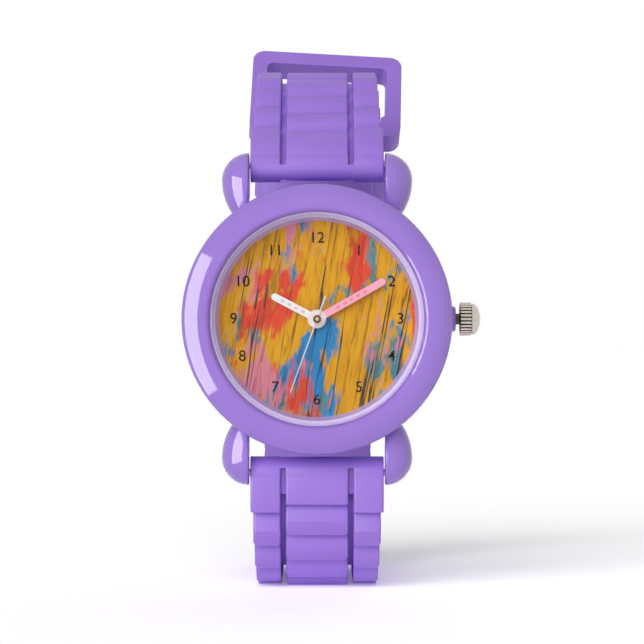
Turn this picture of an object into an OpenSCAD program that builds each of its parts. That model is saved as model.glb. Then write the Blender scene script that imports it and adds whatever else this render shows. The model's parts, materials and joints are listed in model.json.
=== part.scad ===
// Child's analogue wristwatch: moulded case with teardrop lugs, quartz movement,
// link-look strap in two halves and a rounded frame buckle.
// The dial axis runs along Y and faces -Y, twelve o'clock is +Z and the crown is at +X.
// The origin is the middle of the flat that the lower strap curl stands on.

/* [Case] */
// Outer diameter of the case ring
case_d = 31.6; // [31:0.1:33]
// Front rounding radius of the case ring
ring_front_round = 1.8; // [1.4:0.1:2]
// Rear rounding radius of the case ring
ring_rear_round = 2.6; // [2.4:0.1:2.8]
// Radius of the opening that the lens sits in, as a share of the ring's radius
lens_seat_share = 0.788; // [0.785:0.001:0.795]
// Radius of the bore behind the dial, as a share of the ring's radius
case_bore_share = 0.7595; // [0.755:0.0005:0.763]
// Visible radius of the dial, as a share of the ring's radius
dial_show_share = 0.7184; // [0.71:0.0002:0.73]
// Depth of the movement's main plate
plate_t = 3.1; // [3:0.05:3.5]

/* [Lugs] */
// Gap between the flat inner faces of a pair of lugs
lug_gap = 16; // [15.9:0.05:16.4]
// Largest radius of a lug
lug_r = 3.25; // [3.1:0.05:3.4]
// Radius of the lug's bulging side, from its head down to the case
lug_side_r = 5.4; // [5:0.1:6]
// Distance from the ring's edge out to a lug's thickest place
lug_out = 0.55; // [0.4:0.05:0.8]
// Distance from the ring's edge out to a spring bar
bar_out = 2.3; // [2.2:0.05:2.5]
// Distance of the spring bars in front of the ring's rear face
bar_inset = 2.5; // [2.3:0.1:2.7]
// Radius of a spring bar's body
bar_r = 0.75; // [0.6:0.05:0.8]

/* [Crown] */
// Diameter over the knurl of the crown
crown_d = 3.95; // [3.6:0.05:4.2]
// Length of the knurled part of the crown
crown_knurl_l = 1.45; // [1.3:0.05:1.6]
// Height of the domed end of the crown
crown_dome_h = 1.05; // [0.9:0.05:1.2]
// Number of knurl teeth on the crown
crown_teeth = 28; // [20:1:32]
// Travel of the crown from set to pushed in
crown_travel = 0.4; // [0.3:0.05:0.42]

/* [Hands] */
// Length of the hour hand
hour_hand_l = 6; // [5:0.1:7]
// Length of the minute hand
minute_hand_l = 9.15; // [8:0.05:9.6]
// Length of the second hand
second_hand_l = 9.15; // [8:0.05:9.6]
// Time shown by the hour hand, degrees clockwise from twelve
hour_turn = 297.6; // [0:0.1:360]
// Time shown by the minute hand, degrees clockwise from twelve
minute_turn = 60.35; // [0:0.05:360]
// Time shown by the second hand, degrees clockwise from twelve
second_turn = 200; // [0:1:360]

/* [Strap] */
// Gap between the strap and each lug
strap_gap = 0.15; // [0.1:0.05:0.3]
// Narrowing of the strap on each side
strap_taper = 0.85; // [0.7:0.05:1.1]
// Length over which the strap tapers
strap_taper_l = 22; // [16:1:30]
// Width of the centre column of links
column_w = 7.36; // [6.8:0.02:7.6]
// Width of the grooves beside the centre column
groove_w = 0.62; // [0.4:0.02:0.8]
// Pitch of the links along the strap
link_pitch = 3.25; // [3.1:0.05:3.4]
// Height of a link's crown above the band's neutral line
link_h = 2.15; // [2:0.05:2.3]
// Depth of the crease between two links
crease_h = 0.55; // [0.3:0.05:0.7]
// Radius of the lower curl just past the lugs, at the neutral line
curl_r = 9.8; // [9.5:0.1:10.2]
// Length of the flat stretch under the lower curl
stand_l = 14; // [13:0.2:15]

/* [Buckle] */
// Width of the buckle frame's side bars
buckle_side_w = 1.95; // [1.7:0.05:2.2]
// Room beside the strap in the buckle frame
buckle_room = 0.75; // [0.6:0.05:0.9]
// Length of the buckle frame past its pin
buckle_l = 12.2; // [11.6:0.1:13]
// Depth of the buckle frame's bars
buckle_t = 3.2; // [3:0.1:3.6]
// Radius of the buckle pin
pin_r = 0.7; // [0.5:0.05:0.8]
// Sideways lean of the buckle, as worn in
buckle_lean = 3.3; // [0:0.1:4]
// Outward tilt of the buckle frame from the strap, as it hangs on its pin
buckle_tilt = 59; // [50:1:65]

/* [Hidden] */
$fn = 64;

// Overrun of every cut past the face that it leaves
cut = 0.2;
// Running clearance of shafts, and the clearance of seated pieces
run_gap = 0.05;
seat_gap = 0.03;

// Levels from the lens to the movement's back, as depths behind the front of the ring
lens_u = 0.95;
lens_t = 1.4;
lens_bevel = 0.4;
lens_gap = 0.15;
gasket_t = 0.3;
lens_ledge_u = lens_u + lens_t + gasket_t;
dial_u = 4.3;
dial_t = 0.4;
dial_back_u = dial_u + dial_t;
plate_back_u = dial_back_u + plate_t;
bridge_t = 0.25;
back_room = 0.45;
case_depth = plate_back_u + bridge_t + back_room;

// Ring and bore
case_r = case_d / 2;
ring_crest_r = case_r - ring_front_round;
ring_rear_r = case_r - ring_rear_round;
ring_rear_drop = 2.3;
ring_rear_u = case_depth - ring_rear_drop;
lens_seat_r = case_r * lens_seat_share;
case_bore_r = case_r * case_bore_share;
dial_show_r = case_r * dial_show_share;
lens_r = lens_seat_r - lens_gap;
ledge_w = 0.55;
ledge_r = lens_seat_r - ledge_w;
dial_r = case_bore_r - run_gap;

// Lugs and spring bars
lug_x = lug_gap / 2;
lug_reach = case_r + lug_out;
bar_reach = case_r + bar_out;
bar_u = case_depth - bar_inset;
bar_tip_r = 0.4;
bar_tip_l = 1.2;
bar_shoulder_gap = 0.2;

// Crown and stem
stem_r = 0.45;
stem_end_x = 5.1;
collar_r = 1.5;
collar_rise = 0.55;
collar_x = case_r + collar_rise;
crown_x = collar_x + crown_travel + run_gap;
crown_r = crown_d / 2;
crown_tooth_depth = 0.16;
crown_edge = 0.3;
crown_dome_inset = 0.15;
crown_dome_base_r = crown_r - crown_dome_inset;
crown_dome_r = (pow(crown_dome_base_r, 2) + pow(crown_dome_h, 2)) / (2 * crown_dome_h);
stem_bore_r = 0.85;
neck_r = 0.65;
neck_l = 0.9;
crown_gasket_r = stem_bore_r - run_gap;
crown_gasket_l = 0.8;
crown_gasket_depth = 1.2;
lever_groove_r = 0.28;
lever_groove_l = 0.5;
lever_groove_x = 8.4;
lever_t = 0.3;
lever_w = 1.1;
clutch_teeth = 18;
clutch_r = 1.2;
clutch_room = 0.1;
stem_u = plate_back_u - clutch_r - clutch_room;
clutch_tooth_r = 0.9;
clutch_tooth_l = 0.26;
clutch_tooth_share = 0.38;
clutch_l = 1.2;
clutch_groove_r = 0.8;
clutch_groove_l = 0.44;

// Movement levels and outlines
plate_r = 9.2;
work_gap = 0.12;
wheel_t = 0.3;
web_t = 0.35;
hour_level_u = dial_back_u + work_gap;
minute_level_u = hour_level_u + wheel_t + work_gap;
work_floor_u = minute_level_u + wheel_t + work_gap;
train_floor_u = work_floor_u + web_t;
second_level_u = train_floor_u + work_gap;
intermediate_level_u = second_level_u + wheel_t + work_gap;
gear_m = 0.12;
hour_teeth = 32;
cannon_teeth = 10;
minute_teeth = 30;
minute_pinion_teeth = 8;
setting_teeth = 24;
// Tooth outline: shares of the tooth spacing, then of the gear module
tooth_shares = [[-0.27, -1.2], [-0.12, 0.85], [0.12, 0.85], [0.27, -1.2]];
minute_dir = 50;
minute_centre_d = gear_m * (cannon_teeth + minute_teeth) / 2;
minute_x = minute_centre_d * cos(minute_dir);
minute_w = minute_centre_d * sin(minute_dir);
setting_centre_d = gear_m * (minute_teeth + setting_teeth) / 2;
setting_x = minute_x + sqrt(pow(setting_centre_d, 2) - pow(minute_w, 2));
setting_dir = atan2(-minute_w, setting_x - minute_x);
setting_pitch_r = gear_m * setting_teeth / 2;
clutch_x = setting_x + setting_pitch_r + clutch_tooth_l / 2;
clutch_tooth_w = clutch_tooth_share * PI * 2 * clutch_tooth_r / clutch_teeth;
hour_pipe_r = 0.78;
hour_bore_r = 0.56;
cannon_pipe_r = hour_bore_r - run_gap;
cannon_bore_r = 0.26;
second_arbor_r = cannon_bore_r - run_gap;
post_r = 0.3;
post_bore_r = post_r + run_gap;

// Hands, as depths behind the front of the ring
hand_t = 0.2;
hour_hand_u = 3.75;
minute_hand_u = 3.3;
second_hand_u = 2.85;
hand_w = 0.85;
hour_hub_r = 1.1;
minute_hub_r = 0.95;
second_hub_r = 0.55;
second_w = 0.22;
second_tail_l = 2.9;
second_cap_rise = 0.08;

// Train and motor behind the plate
train_m = 0.1;
fine_m = 0.05;
second_wheel_teeth = 32;
intermediate_teeth = 60;
intermediate_pinion_teeth = 8;
rotor_teeth = 8;
train_dir = 118;
train_d = train_m * (second_wheel_teeth + intermediate_pinion_teeth) / 2;
train_x = train_d * cos(train_dir);
train_w = train_d * sin(train_dir);
rotor_dir = 165;
rotor_d = fine_m * (intermediate_teeth + rotor_teeth) / 2;
rotor_x = train_x + rotor_d * cos(rotor_dir);
rotor_w = train_w + rotor_d * sin(rotor_dir);
rotor_r = 0.75;
rotor_gap = 0.2;
stator_t = 0.35;
stator_x0 = -6.4;
stator_x1 = -1.6;
stator_w0 = 1.1;
stator_w1 = 5.6;
stator_arm = 0.4;
stator_body = 2.6;
coil_r = 0.75;
coil_core_r = 0.15;
coil_gap = 0.1;
coil_w = 4.7;
bridge_inset = 0.2;
bridge_r = plate_r - bridge_inset;
bridge_x0 = -8.4;
bridge_x1 = 1.2;
bridge_w0 = -0.6;
bridge_w1 = 6.6;
bridge_arm_w = 1.7;
board_x0 = 1.6;
board_w0 = 2.1;
can_r = 0.75;
can_l = 4.2;
can_x = 2.8;
can_w = 4.2;
battery_r = 3.4;
battery_t = 2.1;
battery_x = -3.2;
battery_w = -4.4;
battery_step_r = 2.7;
battery_step = 0.35;
battery_gap = 0.15;
battery_proud = 0.2;
battery_back_u = plate_back_u + battery_proud;
clip_t = 0.12;
clip_w = 1.6;
clip_l = 8;

// Back cover
back_flange_w = 1.5;
back_flange_r = case_bore_r + back_flange_w;
back_flange_t = 0.5;
back_boss_w = 0.2;
back_boss_r = case_bore_r + back_boss_w;
back_boss_t = 0.3;
back_spigot_r = case_bore_r - run_gap;
back_spigot_t = 0.35;
back_gasket_w = 0.9;
back_gasket_r = case_bore_r + back_gasket_w;
back_gasket_t = 0.3;
back_cup_w = 1.2;
back_cup_r = case_bore_r - back_cup_w;

// Strap path: heading 0 runs straight away from the case, 90 runs backwards
arc_per_angle = PI / 180;
strap_w = lug_gap - 2 * strap_gap;
strap_min_w = strap_w - 2 * strap_taper;
band_in = 1.1;
band_out = -0.3;
column_in = 1.05;
lap = 0.2;
barrel_r = 1.85;
end_link_l = 3.5;
// Bevel at the case end of a strap half: length along the strap, then height, at its two edges
end_foot = [-1.75, 0.6];
end_corner = [-1.25, 1.45];
groove_start = -0.8;
shallow_l = 2.4;
shallow_h = 1.25;
first_stagger_share = 0.25;
stagger_share = 0.4;
side_first_l = end_link_l + first_stagger_share * link_pitch;
side_next_l = end_link_l + (1 + stagger_share) * link_pitch;
// Link profile: shares of the link's length, then of the crease's depth
link_shares = [[0, 0], [0.06, 0.45], [0.22, 0.85], [0.5, 1], [0.78, 0.85], [0.94, 0.45]];
// End link profile: shares of its length, then of a link's height
end_shares = [[0, 0.87], [0.5, 0.95], [0.85, 0.9], [0.96, 0.82]];
stand_cut = 0.22;
lower_start_angle = 7;
lower_back_r = 15.5;
lower_back_end_angle = 175;
lower_rise_l = 26;
lower_rise_end_angle = 202;
lower_tail_l = 16;
upper_start_angle = 30;
upper_end_angle = 46;
upper_slope_l = 7;
upper_slope_end_angle = 47;
upper_curl_r = 9.2;
upper_over_r = 11;
upper_over_end_angle = 180;
upper_drop_l = 14;
upper_drop_end_angle = 204;
upper_tail_l = 9;
lower_curl_l = curl_r * (90 - lower_start_angle) * arc_per_angle;
lower_path = [
    [end_link_l, 0],
    [lower_curl_l, 90 - lower_start_angle],
    [stand_l, 0],
    [lower_back_r * (lower_back_end_angle - 90) * arc_per_angle, lower_back_end_angle - 90],
    [lower_rise_l, lower_rise_end_angle - lower_back_end_angle],
    [lower_tail_l, 0]
];
upper_path = [
    [end_link_l, upper_end_angle - upper_start_angle],
    [upper_slope_l, upper_slope_end_angle - upper_end_angle],
    [upper_curl_r * (90 - upper_slope_end_angle) * arc_per_angle, 90 - upper_slope_end_angle],
    [upper_over_r * (upper_over_end_angle - 90) * arc_per_angle, upper_over_end_angle - 90],
    [upper_drop_l, upper_drop_end_angle - upper_over_end_angle],
    [upper_tail_l, 0]
];
bar_point = [bar_u, -bar_reach];
lower_l = path_length(lower_path);
upper_l = path_length(upper_path);
lower_links_l = lower_l - lower_tail_l;
upper_links_l = path_length([for (i = [0:3]) upper_path[i]]);
plain_h = 0.7;
hole_r = 0.9;
hole_pitch = 5;
hole_count = 4;
hole_inset = 3;

// Stand plane and origin
stand_point = pose_at(end_link_l + lower_curl_l, lower_path, bar_point, lower_start_angle);
stand_h = -stand_point[1] + link_h - stand_cut;
stand_u = stand_point[0] + stand_l / 2;

// Buckle group, in the frame of the strap's straight tail: X width, Y outwards, Z along
root_pose = pose_at(lower_links_l, lower_path, bar_point, lower_start_angle);
tip_pose = pose_at(upper_l - upper_tail_l, upper_path, bar_point, upper_start_angle);
buckle_open_w = strap_min_w + 2 * buckle_room;
buckle_w = buckle_open_w + 2 * buckle_side_w;
hinge_y = (plain_h - band_in) / 2;
loop_r = 1.5;
loop_gap = 0.25;
slot_w = 2.5;
slot_depth = 2.2;
prong_w = 2;
prong_eye_r = 1.25;
prong_t = 0.9;
prong_lift = 0.1;
bar_face = 2;
frame_round = 1.6;
frame_open_round = 0.8;
frame_inner = 1.4;
frame_foot = 1.4;
ear_gap = 0.15;
pin_inset = 0.4;
far_bar_z = buckle_l - bar_face;
frame_back_y = buckle_t - frame_inner;
prong_y = frame_back_y + prong_lift;
keeper_wall = 1.3;
keeper_round = 1;
keeper_l = 4.5;
keeper_gap = 0.3;
keeper_room = 2.6;
keeper_z = -9.2;

function path_length(path, i = 0) =
    i == len(path) ? 0 : path[i][0] + path_length(path, i + 1);

function step_end(p, a, l, turn) =
    turn == 0
        ? [p[0] + l * sin(a), p[1] - l * cos(a)]
        : let (r = l / (turn * arc_per_angle))
          [p[0] + r * (cos(a) - cos(a + turn)), p[1] - r * (sin(a + turn) - sin(a))];

// Depth, height and heading at a length s along a strap path
function pose_at(s, path, p, a, i = 0) =
    (i == len(path) - 1 || s <= path[i][0])
        ? let (turn = path[i][1] * s / path[i][0])
          concat(step_end(p, a, s, turn), [a + turn])
        : pose_at(s - path[i][0], path, step_end(p, a, path[i][0], path[i][1]), a + path[i][1], i + 1);

// Point at height h outwards from the neutral line, at length s
function offset_at(s, h, path, a) =
    let (q = pose_at(s, path, bar_point, a))
    [q[0] - h * cos(q[2]), q[1] - h * sin(q[2])];

// Length at which link k of a side column starts
function side_start(k) = k == 0 ? side_first_l : side_next_l + (k - 1) * link_pitch;

function strap_half_w(s) =
    (strap_w - (strap_w - strap_min_w) * min(1, max(0, s / strap_taper_l))) / 2;

// Angle of a gear's first tooth, so that it meshes with a gear of teeth_a at phase_a
function mesh_phase(phase_a, teeth_a, dir, teeth_b) =
    dir + 180 - (phase_a - dir) * teeth_a / teeth_b + 180 / teeth_b;

minute_phase = mesh_phase(minute_dir, cannon_teeth, minute_dir, minute_teeth);
minute_pinion_phase = minute_dir + 180;
hour_phase = mesh_phase(minute_pinion_phase, minute_pinion_teeth, minute_dir + 180, hour_teeth);
setting_phase = mesh_phase(minute_phase, minute_teeth, setting_dir, setting_teeth);
clutch_phase = -90 - setting_phase * setting_teeth / clutch_teeth + 180 / clutch_teeth;
intermediate_phase = train_dir + 180;
second_wheel_phase = mesh_phase(intermediate_phase, intermediate_pinion_teeth, train_dir + 180,
    second_wheel_teeth);
rotor_phase = mesh_phase(intermediate_phase, intermediate_teeth, rotor_dir, rotor_teeth);

// The dial axis at its height above the stand plane
module placed() {
    translate([0, -stand_u, stand_h]) children();
}

// Revolves an outline of radius and depth about the dial axis
module turned() {
    rotate([-90, 0, 0]) rotate_extrude() children();
}

// Extrudes an outline seen from the front, from depth u to depth u + t
module plate(u, t) {
    translate([0, u + t, 0]) rotate([90, 0, 0]) linear_extrude(t) children();
}

// Round bar along X from x0 to x1
module cross_bar(r, x0, x1) {
    translate([x0, 0, 0]) rotate([0, 90, 0]) cylinder(r = r, h = x1 - x0);
}

// Extrudes an outline of depth and height along X, from x0 to x1
module slab(x0, x1) {
    translate([x0, 0, 0]) rotate([90, 0, 90]) linear_extrude(x1 - x0) children();
}

module gear_2d(teeth, m) {
    polygon([
        for (i = [0:teeth - 1])
        for (p = tooth_shares)
        let (a = 360 * (i + p[0]) / teeth, r = m * (teeth / 2 + p[1]))
        [r * cos(a), r * sin(a)]
    ]);
}

module ring_outline() {
    translate([ring_crest_r, ring_front_round]) circle(r = ring_front_round);
    intersection() {
        translate([ring_rear_r, ring_rear_u]) circle(r = ring_rear_round);
        square([case_d, case_depth]);
    }
    polygon([
        [ring_crest_r, ring_front_round], [case_r, ring_front_round], [case_r, ring_rear_u],
        [ring_rear_r, ring_rear_u], [ring_rear_r, case_depth], [dial_show_r, case_depth],
        [dial_show_r, lens_ledge_u], [lens_seat_r, ring_front_round]
    ]);
}

module bore_outline() {
    square([lens_seat_r, lens_ledge_u]);
    polygon([
        [0, 0], [ledge_r, 0], [ledge_r, lens_ledge_u], [dial_show_r, dial_u],
        [case_bore_r, dial_u], [case_bore_r, case_depth + cut], [0, case_depth + cut]
    ]);
    translate([0, case_depth - back_gasket_t]) square([back_gasket_r, back_gasket_t + cut]);
}

module lug_outline() {
    intersection() {
        union() {
            translate([0, lug_reach]) circle(r = lug_r);
            intersection() {
                translate([lug_r - lug_side_r, lug_reach]) circle(r = lug_side_r);
                square([lug_r, lug_reach]);
            }
        }
        square([lug_r, lug_reach + lug_r]);
    }
}

module lugs() {
    for (top = [0, 1]) mirror([0, 0, top])
    for (side = [0, 1]) mirror([side, 0, 0])
    translate([lug_x, bar_u, 0]) rotate([0, 0, -90]) rotate_extrude(angle = 180) lug_outline();
}

module case_body() color("mediumpurple") placed() difference() {
    union() {
        turned() ring_outline();
        difference() {
            lugs();
            turned() square([ring_crest_r, case_depth + cut]);
        }
        translate([0, stem_u, 0]) cross_bar(collar_r, ring_crest_r, collar_x);
    }
    turned() bore_outline();
    translate([0, stem_u, 0]) cross_bar(stem_bore_r, case_bore_r - cut, collar_x + cut);
    for (top = [-1, 1]) translate([0, bar_u, top * bar_reach])
        cross_bar(bar_tip_r + seat_gap, -lug_x - bar_tip_l, lug_x + bar_tip_l);
}

module lens() color("lightcyan", 0.35) placed() turned() polygon([
    [0, lens_u], [lens_r - lens_bevel, lens_u], [lens_r, lens_u + lens_bevel],
    [lens_r, lens_u + lens_t], [0, lens_u + lens_t]
]);

module lens_gasket() color("dimgray") placed() turned()
    translate([ledge_r, lens_u + lens_t]) square([lens_r - ledge_r, gasket_t]);

module dial() color("orange") placed() plate(dial_u, dial_t) difference() {
    circle(r = dial_r);
    circle(r = hour_pipe_r + run_gap);
}

// Hand with a round hub and a round-ended blade, pointing at twelve
module hand_2d(l, w, hub_r, bore_r) {
    difference() {
        union() {
            circle(r = hub_r);
            translate([-w / 2, 0]) square([w, l - w / 2]);
            translate([0, l - w / 2]) circle(r = w / 2);
        }
        circle(r = bore_r);
    }
}

module hour_hand() color("white") placed() rotate([0, hour_turn, 0])
    plate(hour_hand_u, hand_t) hand_2d(hour_hand_l, hand_w, hour_hub_r, hour_pipe_r);

module minute_hand() color("pink") placed() rotate([0, minute_turn, 0])
    plate(minute_hand_u, hand_t) hand_2d(minute_hand_l, hand_w, minute_hub_r, cannon_pipe_r);

module second_hand() color("gainsboro") placed() rotate([0, second_turn, 0]) {
    plate(second_hand_u, hand_t) difference() {
        union() {
            circle(r = second_hub_r);
            translate([-second_w / 2, -second_tail_l]) square([second_w, second_tail_l + second_hand_l]);
        }
        circle(r = second_arbor_r);
    }
    plate(second_hand_u - second_cap_rise, second_cap_rise) circle(r = second_hub_r);
}

module hour_wheel() color("gold") placed() {
    plate(hour_level_u, wheel_t) difference() {
        rotate(hour_phase) gear_2d(hour_teeth, gear_m);
        circle(r = hour_bore_r);
    }
    turned() translate([hour_bore_r, hour_hand_u])
        square([hour_pipe_r - hour_bore_r, hour_level_u - hour_hand_u]);
}

module cannon_pinion() color("gold") placed() {
    plate(minute_level_u, wheel_t) difference() {
        rotate(minute_dir) gear_2d(cannon_teeth, gear_m);
        circle(r = cannon_bore_r);
    }
    turned() translate([cannon_bore_r, minute_hand_u])
        square([cannon_pipe_r - cannon_bore_r, minute_level_u - minute_hand_u]);
}

module second_wheel() color("gold") placed() {
    plate(second_level_u, wheel_t) rotate(second_wheel_phase) gear_2d(second_wheel_teeth, train_m);
    plate(second_hand_u, plate_back_u + bridge_t - second_hand_u) circle(r = second_arbor_r);
}

module minute_wheel() color("khaki") placed() translate([minute_x, 0, minute_w]) {
    plate(minute_level_u, wheel_t) difference() {
        rotate(minute_phase) gear_2d(minute_teeth, gear_m);
        circle(r = post_bore_r);
    }
    plate(hour_level_u, minute_level_u - hour_level_u) difference() {
        rotate(minute_pinion_phase) gear_2d(minute_pinion_teeth, gear_m);
        circle(r = post_bore_r);
    }
}

module setting_wheel() color("khaki") placed() translate([setting_x, 0, 0])
    plate(minute_level_u, wheel_t) difference() {
        rotate(setting_phase) gear_2d(setting_teeth, gear_m);
        circle(r = post_bore_r);
    }

module intermediate_wheel() color("khaki") placed() translate([train_x, 0, train_w]) {
    plate(intermediate_level_u, wheel_t) rotate(intermediate_phase) gear_2d(intermediate_teeth, fine_m);
    plate(second_level_u, intermediate_level_u - second_level_u)
        rotate(intermediate_phase) gear_2d(intermediate_pinion_teeth, train_m);
    train_arbor();
}

module rotor() color("silver") placed() translate([rotor_x, 0, rotor_w]) {
    plate(intermediate_level_u, wheel_t) rotate(rotor_phase) gear_2d(rotor_teeth, fine_m);
    plate(second_level_u, wheel_t) circle(r = rotor_r);
    train_arbor();
}

// Arbor from the plate's web to the outside of the bridge
module train_arbor() {
    plate(train_floor_u + seat_gap, plate_back_u + bridge_t - train_floor_u - seat_gap)
        circle(r = second_arbor_r);
}

module stator_2d() {
    difference() {
        translate([stator_x0, stator_w0]) square([stator_x1 - stator_x0, stator_w1 - stator_w0]);
        translate([stator_x0 + stator_arm, stator_w0 + stator_body])
            square([stator_x1 - stator_x0 - 2 * stator_arm, stator_w1 - stator_w0]);
        translate([rotor_x, rotor_w]) circle(r = rotor_r + rotor_gap);
    }
}

module stator() color("lightgray") placed() plate(second_level_u, stator_t) stator_2d();

module coil() color("peru") placed() translate([0, second_level_u + stator_t / 2, coil_w]) {
    cross_bar(coil_r, stator_x0 + stator_arm + coil_gap, stator_x1 - stator_arm - coil_gap);
    cross_bar(coil_core_r, stator_x0 + stator_arm, stator_x1 - stator_arm);
}

module circuit_board() color("seagreen") placed() plate(plate_back_u, bridge_t) intersection() {
    circle(r = bridge_r);
    translate([board_x0, board_w0]) square([bridge_r, bridge_r]);
}

module quartz_can() color("silver") placed()
    translate([can_x, plate_back_u - can_r, can_w]) cross_bar(can_r, 0, can_l);

module battery() color("lightgray") placed() translate([battery_x, 0, battery_w]) {
    plate(battery_back_u - battery_t, battery_step) circle(r = battery_step_r);
    plate(battery_back_u - battery_t + battery_step, battery_t - battery_step) circle(r = battery_r);
}

module battery_strap() color("gold") placed() translate([battery_x, 0, battery_w])
    plate(battery_back_u, clip_t) rotate(atan2(battery_w, battery_x) + 90)
    translate([-clip_l / 2, -clip_w / 2]) square([clip_l, clip_w]);

// Room round a gear's tips
module gear_room(teeth, m) {
    circle(r = m * (teeth / 2 + 1) + work_gap);
}

module main_plate() color("ivory") placed() {
    difference() {
        plate(dial_back_u, plate_t) circle(r = plate_r);
        plate(dial_back_u - cut, work_floor_u - dial_back_u + cut) {
            gear_room(hour_teeth, gear_m);
            translate([minute_x, minute_w]) gear_room(minute_teeth, gear_m);
            translate([setting_x, 0]) gear_room(setting_teeth, gear_m);
        }
        plate(dial_back_u - cut, plate_t) circle(r = cannon_bore_r);
        plate(train_floor_u, plate_t) {
            gear_room(second_wheel_teeth, train_m);
            translate([train_x, train_w]) gear_room(intermediate_teeth, fine_m);
            translate([rotor_x, rotor_w]) circle(r = rotor_r + rotor_gap);
        }
        plate(second_level_u - run_gap, plate_t)
            translate([stator_x0 - run_gap, stator_w0 - run_gap])
            square([stator_x1 - stator_x0 + 2 * run_gap, stator_w1 - stator_w0 + 2 * run_gap]);
        translate([0, second_level_u + stator_t / 2, coil_w])
            cross_bar(coil_r + coil_gap, stator_x0 - run_gap, stator_x1 + run_gap);
        translate([battery_x, 0, battery_w]) plate(battery_back_u - battery_t - seat_gap, plate_t)
            circle(r = battery_r + battery_gap);
        translate([can_x, plate_back_u - can_r, can_w])
            cross_bar(can_r + run_gap, -run_gap, can_l + run_gap);
        keyless_room();
    }
    for (p = [[minute_x, minute_w], [setting_x, 0]]) translate([p[0], 0, p[1]])
        plate(hour_level_u, work_floor_u - hour_level_u) circle(r = post_r);
}

// Room for the stem, the clutch wheel and the two levers, open at the back
module keyless_room() {
    plate(stem_u - stem_r - run_gap, plate_t)
        translate([stem_end_x - crown_travel - work_gap, -stem_r - run_gap])
        square([plate_r, 2 * (stem_r + run_gap)]);
    plate(dial_back_u + work_gap, plate_t)
        translate([clutch_x - clutch_tooth_l - work_gap, -clutch_r - work_gap])
        square([plate_r, 2 * (clutch_r + work_gap)]);
}

module train_bridge() color("whitesmoke") placed() plate(plate_back_u, bridge_t) difference() {
    intersection() {
        circle(r = bridge_r);
        union() {
            translate([bridge_x0, bridge_w0]) square([bridge_x1 - bridge_x0, bridge_w1 - bridge_w0]);
            translate([0, -bridge_arm_w]) square([bridge_r, 2 * bridge_arm_w]);
        }
    }
    translate([battery_x, battery_w]) circle(r = battery_r + battery_gap);
    circle(r = second_arbor_r + run_gap);
    translate([train_x, train_w]) circle(r = second_arbor_r + run_gap);
    translate([rotor_x, rotor_w]) circle(r = second_arbor_r + run_gap);
}

module movement_ring() color("white") placed() difference() {
    plate(dial_back_u, plate_t + bridge_t) difference() {
        circle(r = case_bore_r - run_gap);
        circle(r = plate_r + run_gap);
    }
    translate([0, stem_u, 0]) cross_bar(stem_bore_r, 0, case_bore_r + cut);
}

module stem() color("silver") placed() translate([0, stem_u, 0]) difference() {
    union() {
        cross_bar(stem_r, stem_end_x, crown_x + crown_edge);
        cross_bar(neck_r, collar_x - neck_l, crown_x + crown_edge);
    }
    difference() {
        cross_bar(stem_r + cut, lever_groove_x, lever_groove_x + lever_groove_l);
        cross_bar(lever_groove_r, lever_groove_x - cut, lever_groove_x + lever_groove_l + cut);
    }
}

// Knurled drum with a domed end; the dome is a cap of a sphere
module crown() color("silver") placed() translate([crown_x, stem_u, 0]) rotate([0, 90, 0]) difference() {
    union() {
        intersection() {
            linear_extrude(crown_knurl_l) polygon([
                for (i = [0:2 * crown_teeth - 1])
                let (r = crown_r - (i % 2) * crown_tooth_depth, a = 180 * i / crown_teeth)
                [r * cos(a), r * sin(a)]
            ]);
            rotate_extrude() {
                square([crown_r - crown_edge, crown_knurl_l]);
                translate([0, crown_edge]) square([crown_r, crown_knurl_l - crown_edge]);
                translate([crown_r - crown_edge, crown_edge]) circle(r = crown_edge);
            }
        }
        translate([0, 0, crown_knurl_l]) rotate_extrude() intersection() {
            translate([0, crown_dome_h - crown_dome_r]) circle(r = crown_dome_r);
            square([crown_dome_base_r, crown_dome_h]);
        }
    }
    translate([0, 0, -cut]) cylinder(r = neck_r, h = crown_edge + cut);
}

module crown_gasket() color("dimgray") placed() translate([0, stem_u, 0]) difference() {
    cross_bar(crown_gasket_r, case_bore_r + crown_gasket_depth,
        case_bore_r + crown_gasket_depth + crown_gasket_l);
    cross_bar(stem_r, case_bore_r, collar_x);
}

// Plate that straddles the stem's groove and moves with the stem
module setting_lever() color("gray") placed()
    translate([lever_groove_x + lever_groove_l / 2 - lever_t / 2, 0, 0])
    slab(0, lever_t) difference() {
        translate([stem_u - clutch_r, -lever_w])
            square([clutch_r + plate_back_u - stem_u - run_gap, 2 * lever_w]);
        translate([stem_u, 0]) circle(r = lever_groove_r + run_gap);
        translate([stem_u, -lever_groove_r - run_gap])
            square([plate_t, 2 * (lever_groove_r + run_gap)]);
    }

// Clutch wheel: face teeth towards the setting wheel, and a groove for its lever
module clutch_wheel() color("khaki") placed() translate([clutch_x, stem_u, 0]) rotate([0, 90, 0]) {
    difference() {
        cylinder(r = clutch_r, h = clutch_l);
        translate([0, 0, -cut]) cylinder(r = stem_r + run_gap, h = clutch_l + 2 * cut);
        translate([0, 0, clutch_l / 2 - clutch_groove_l / 2]) difference() {
            cylinder(r = clutch_r + cut, h = clutch_groove_l);
            translate([0, 0, -cut]) cylinder(r = clutch_groove_r, h = clutch_groove_l + 2 * cut);
        }
    }
    for (i = [0:clutch_teeth - 1]) rotate(clutch_phase + 360 * i / clutch_teeth)
        translate([clutch_tooth_r, -clutch_tooth_w / 2, -clutch_tooth_l])
        cube([clutch_r - clutch_tooth_r, clutch_tooth_w, clutch_tooth_l]);
}

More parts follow.
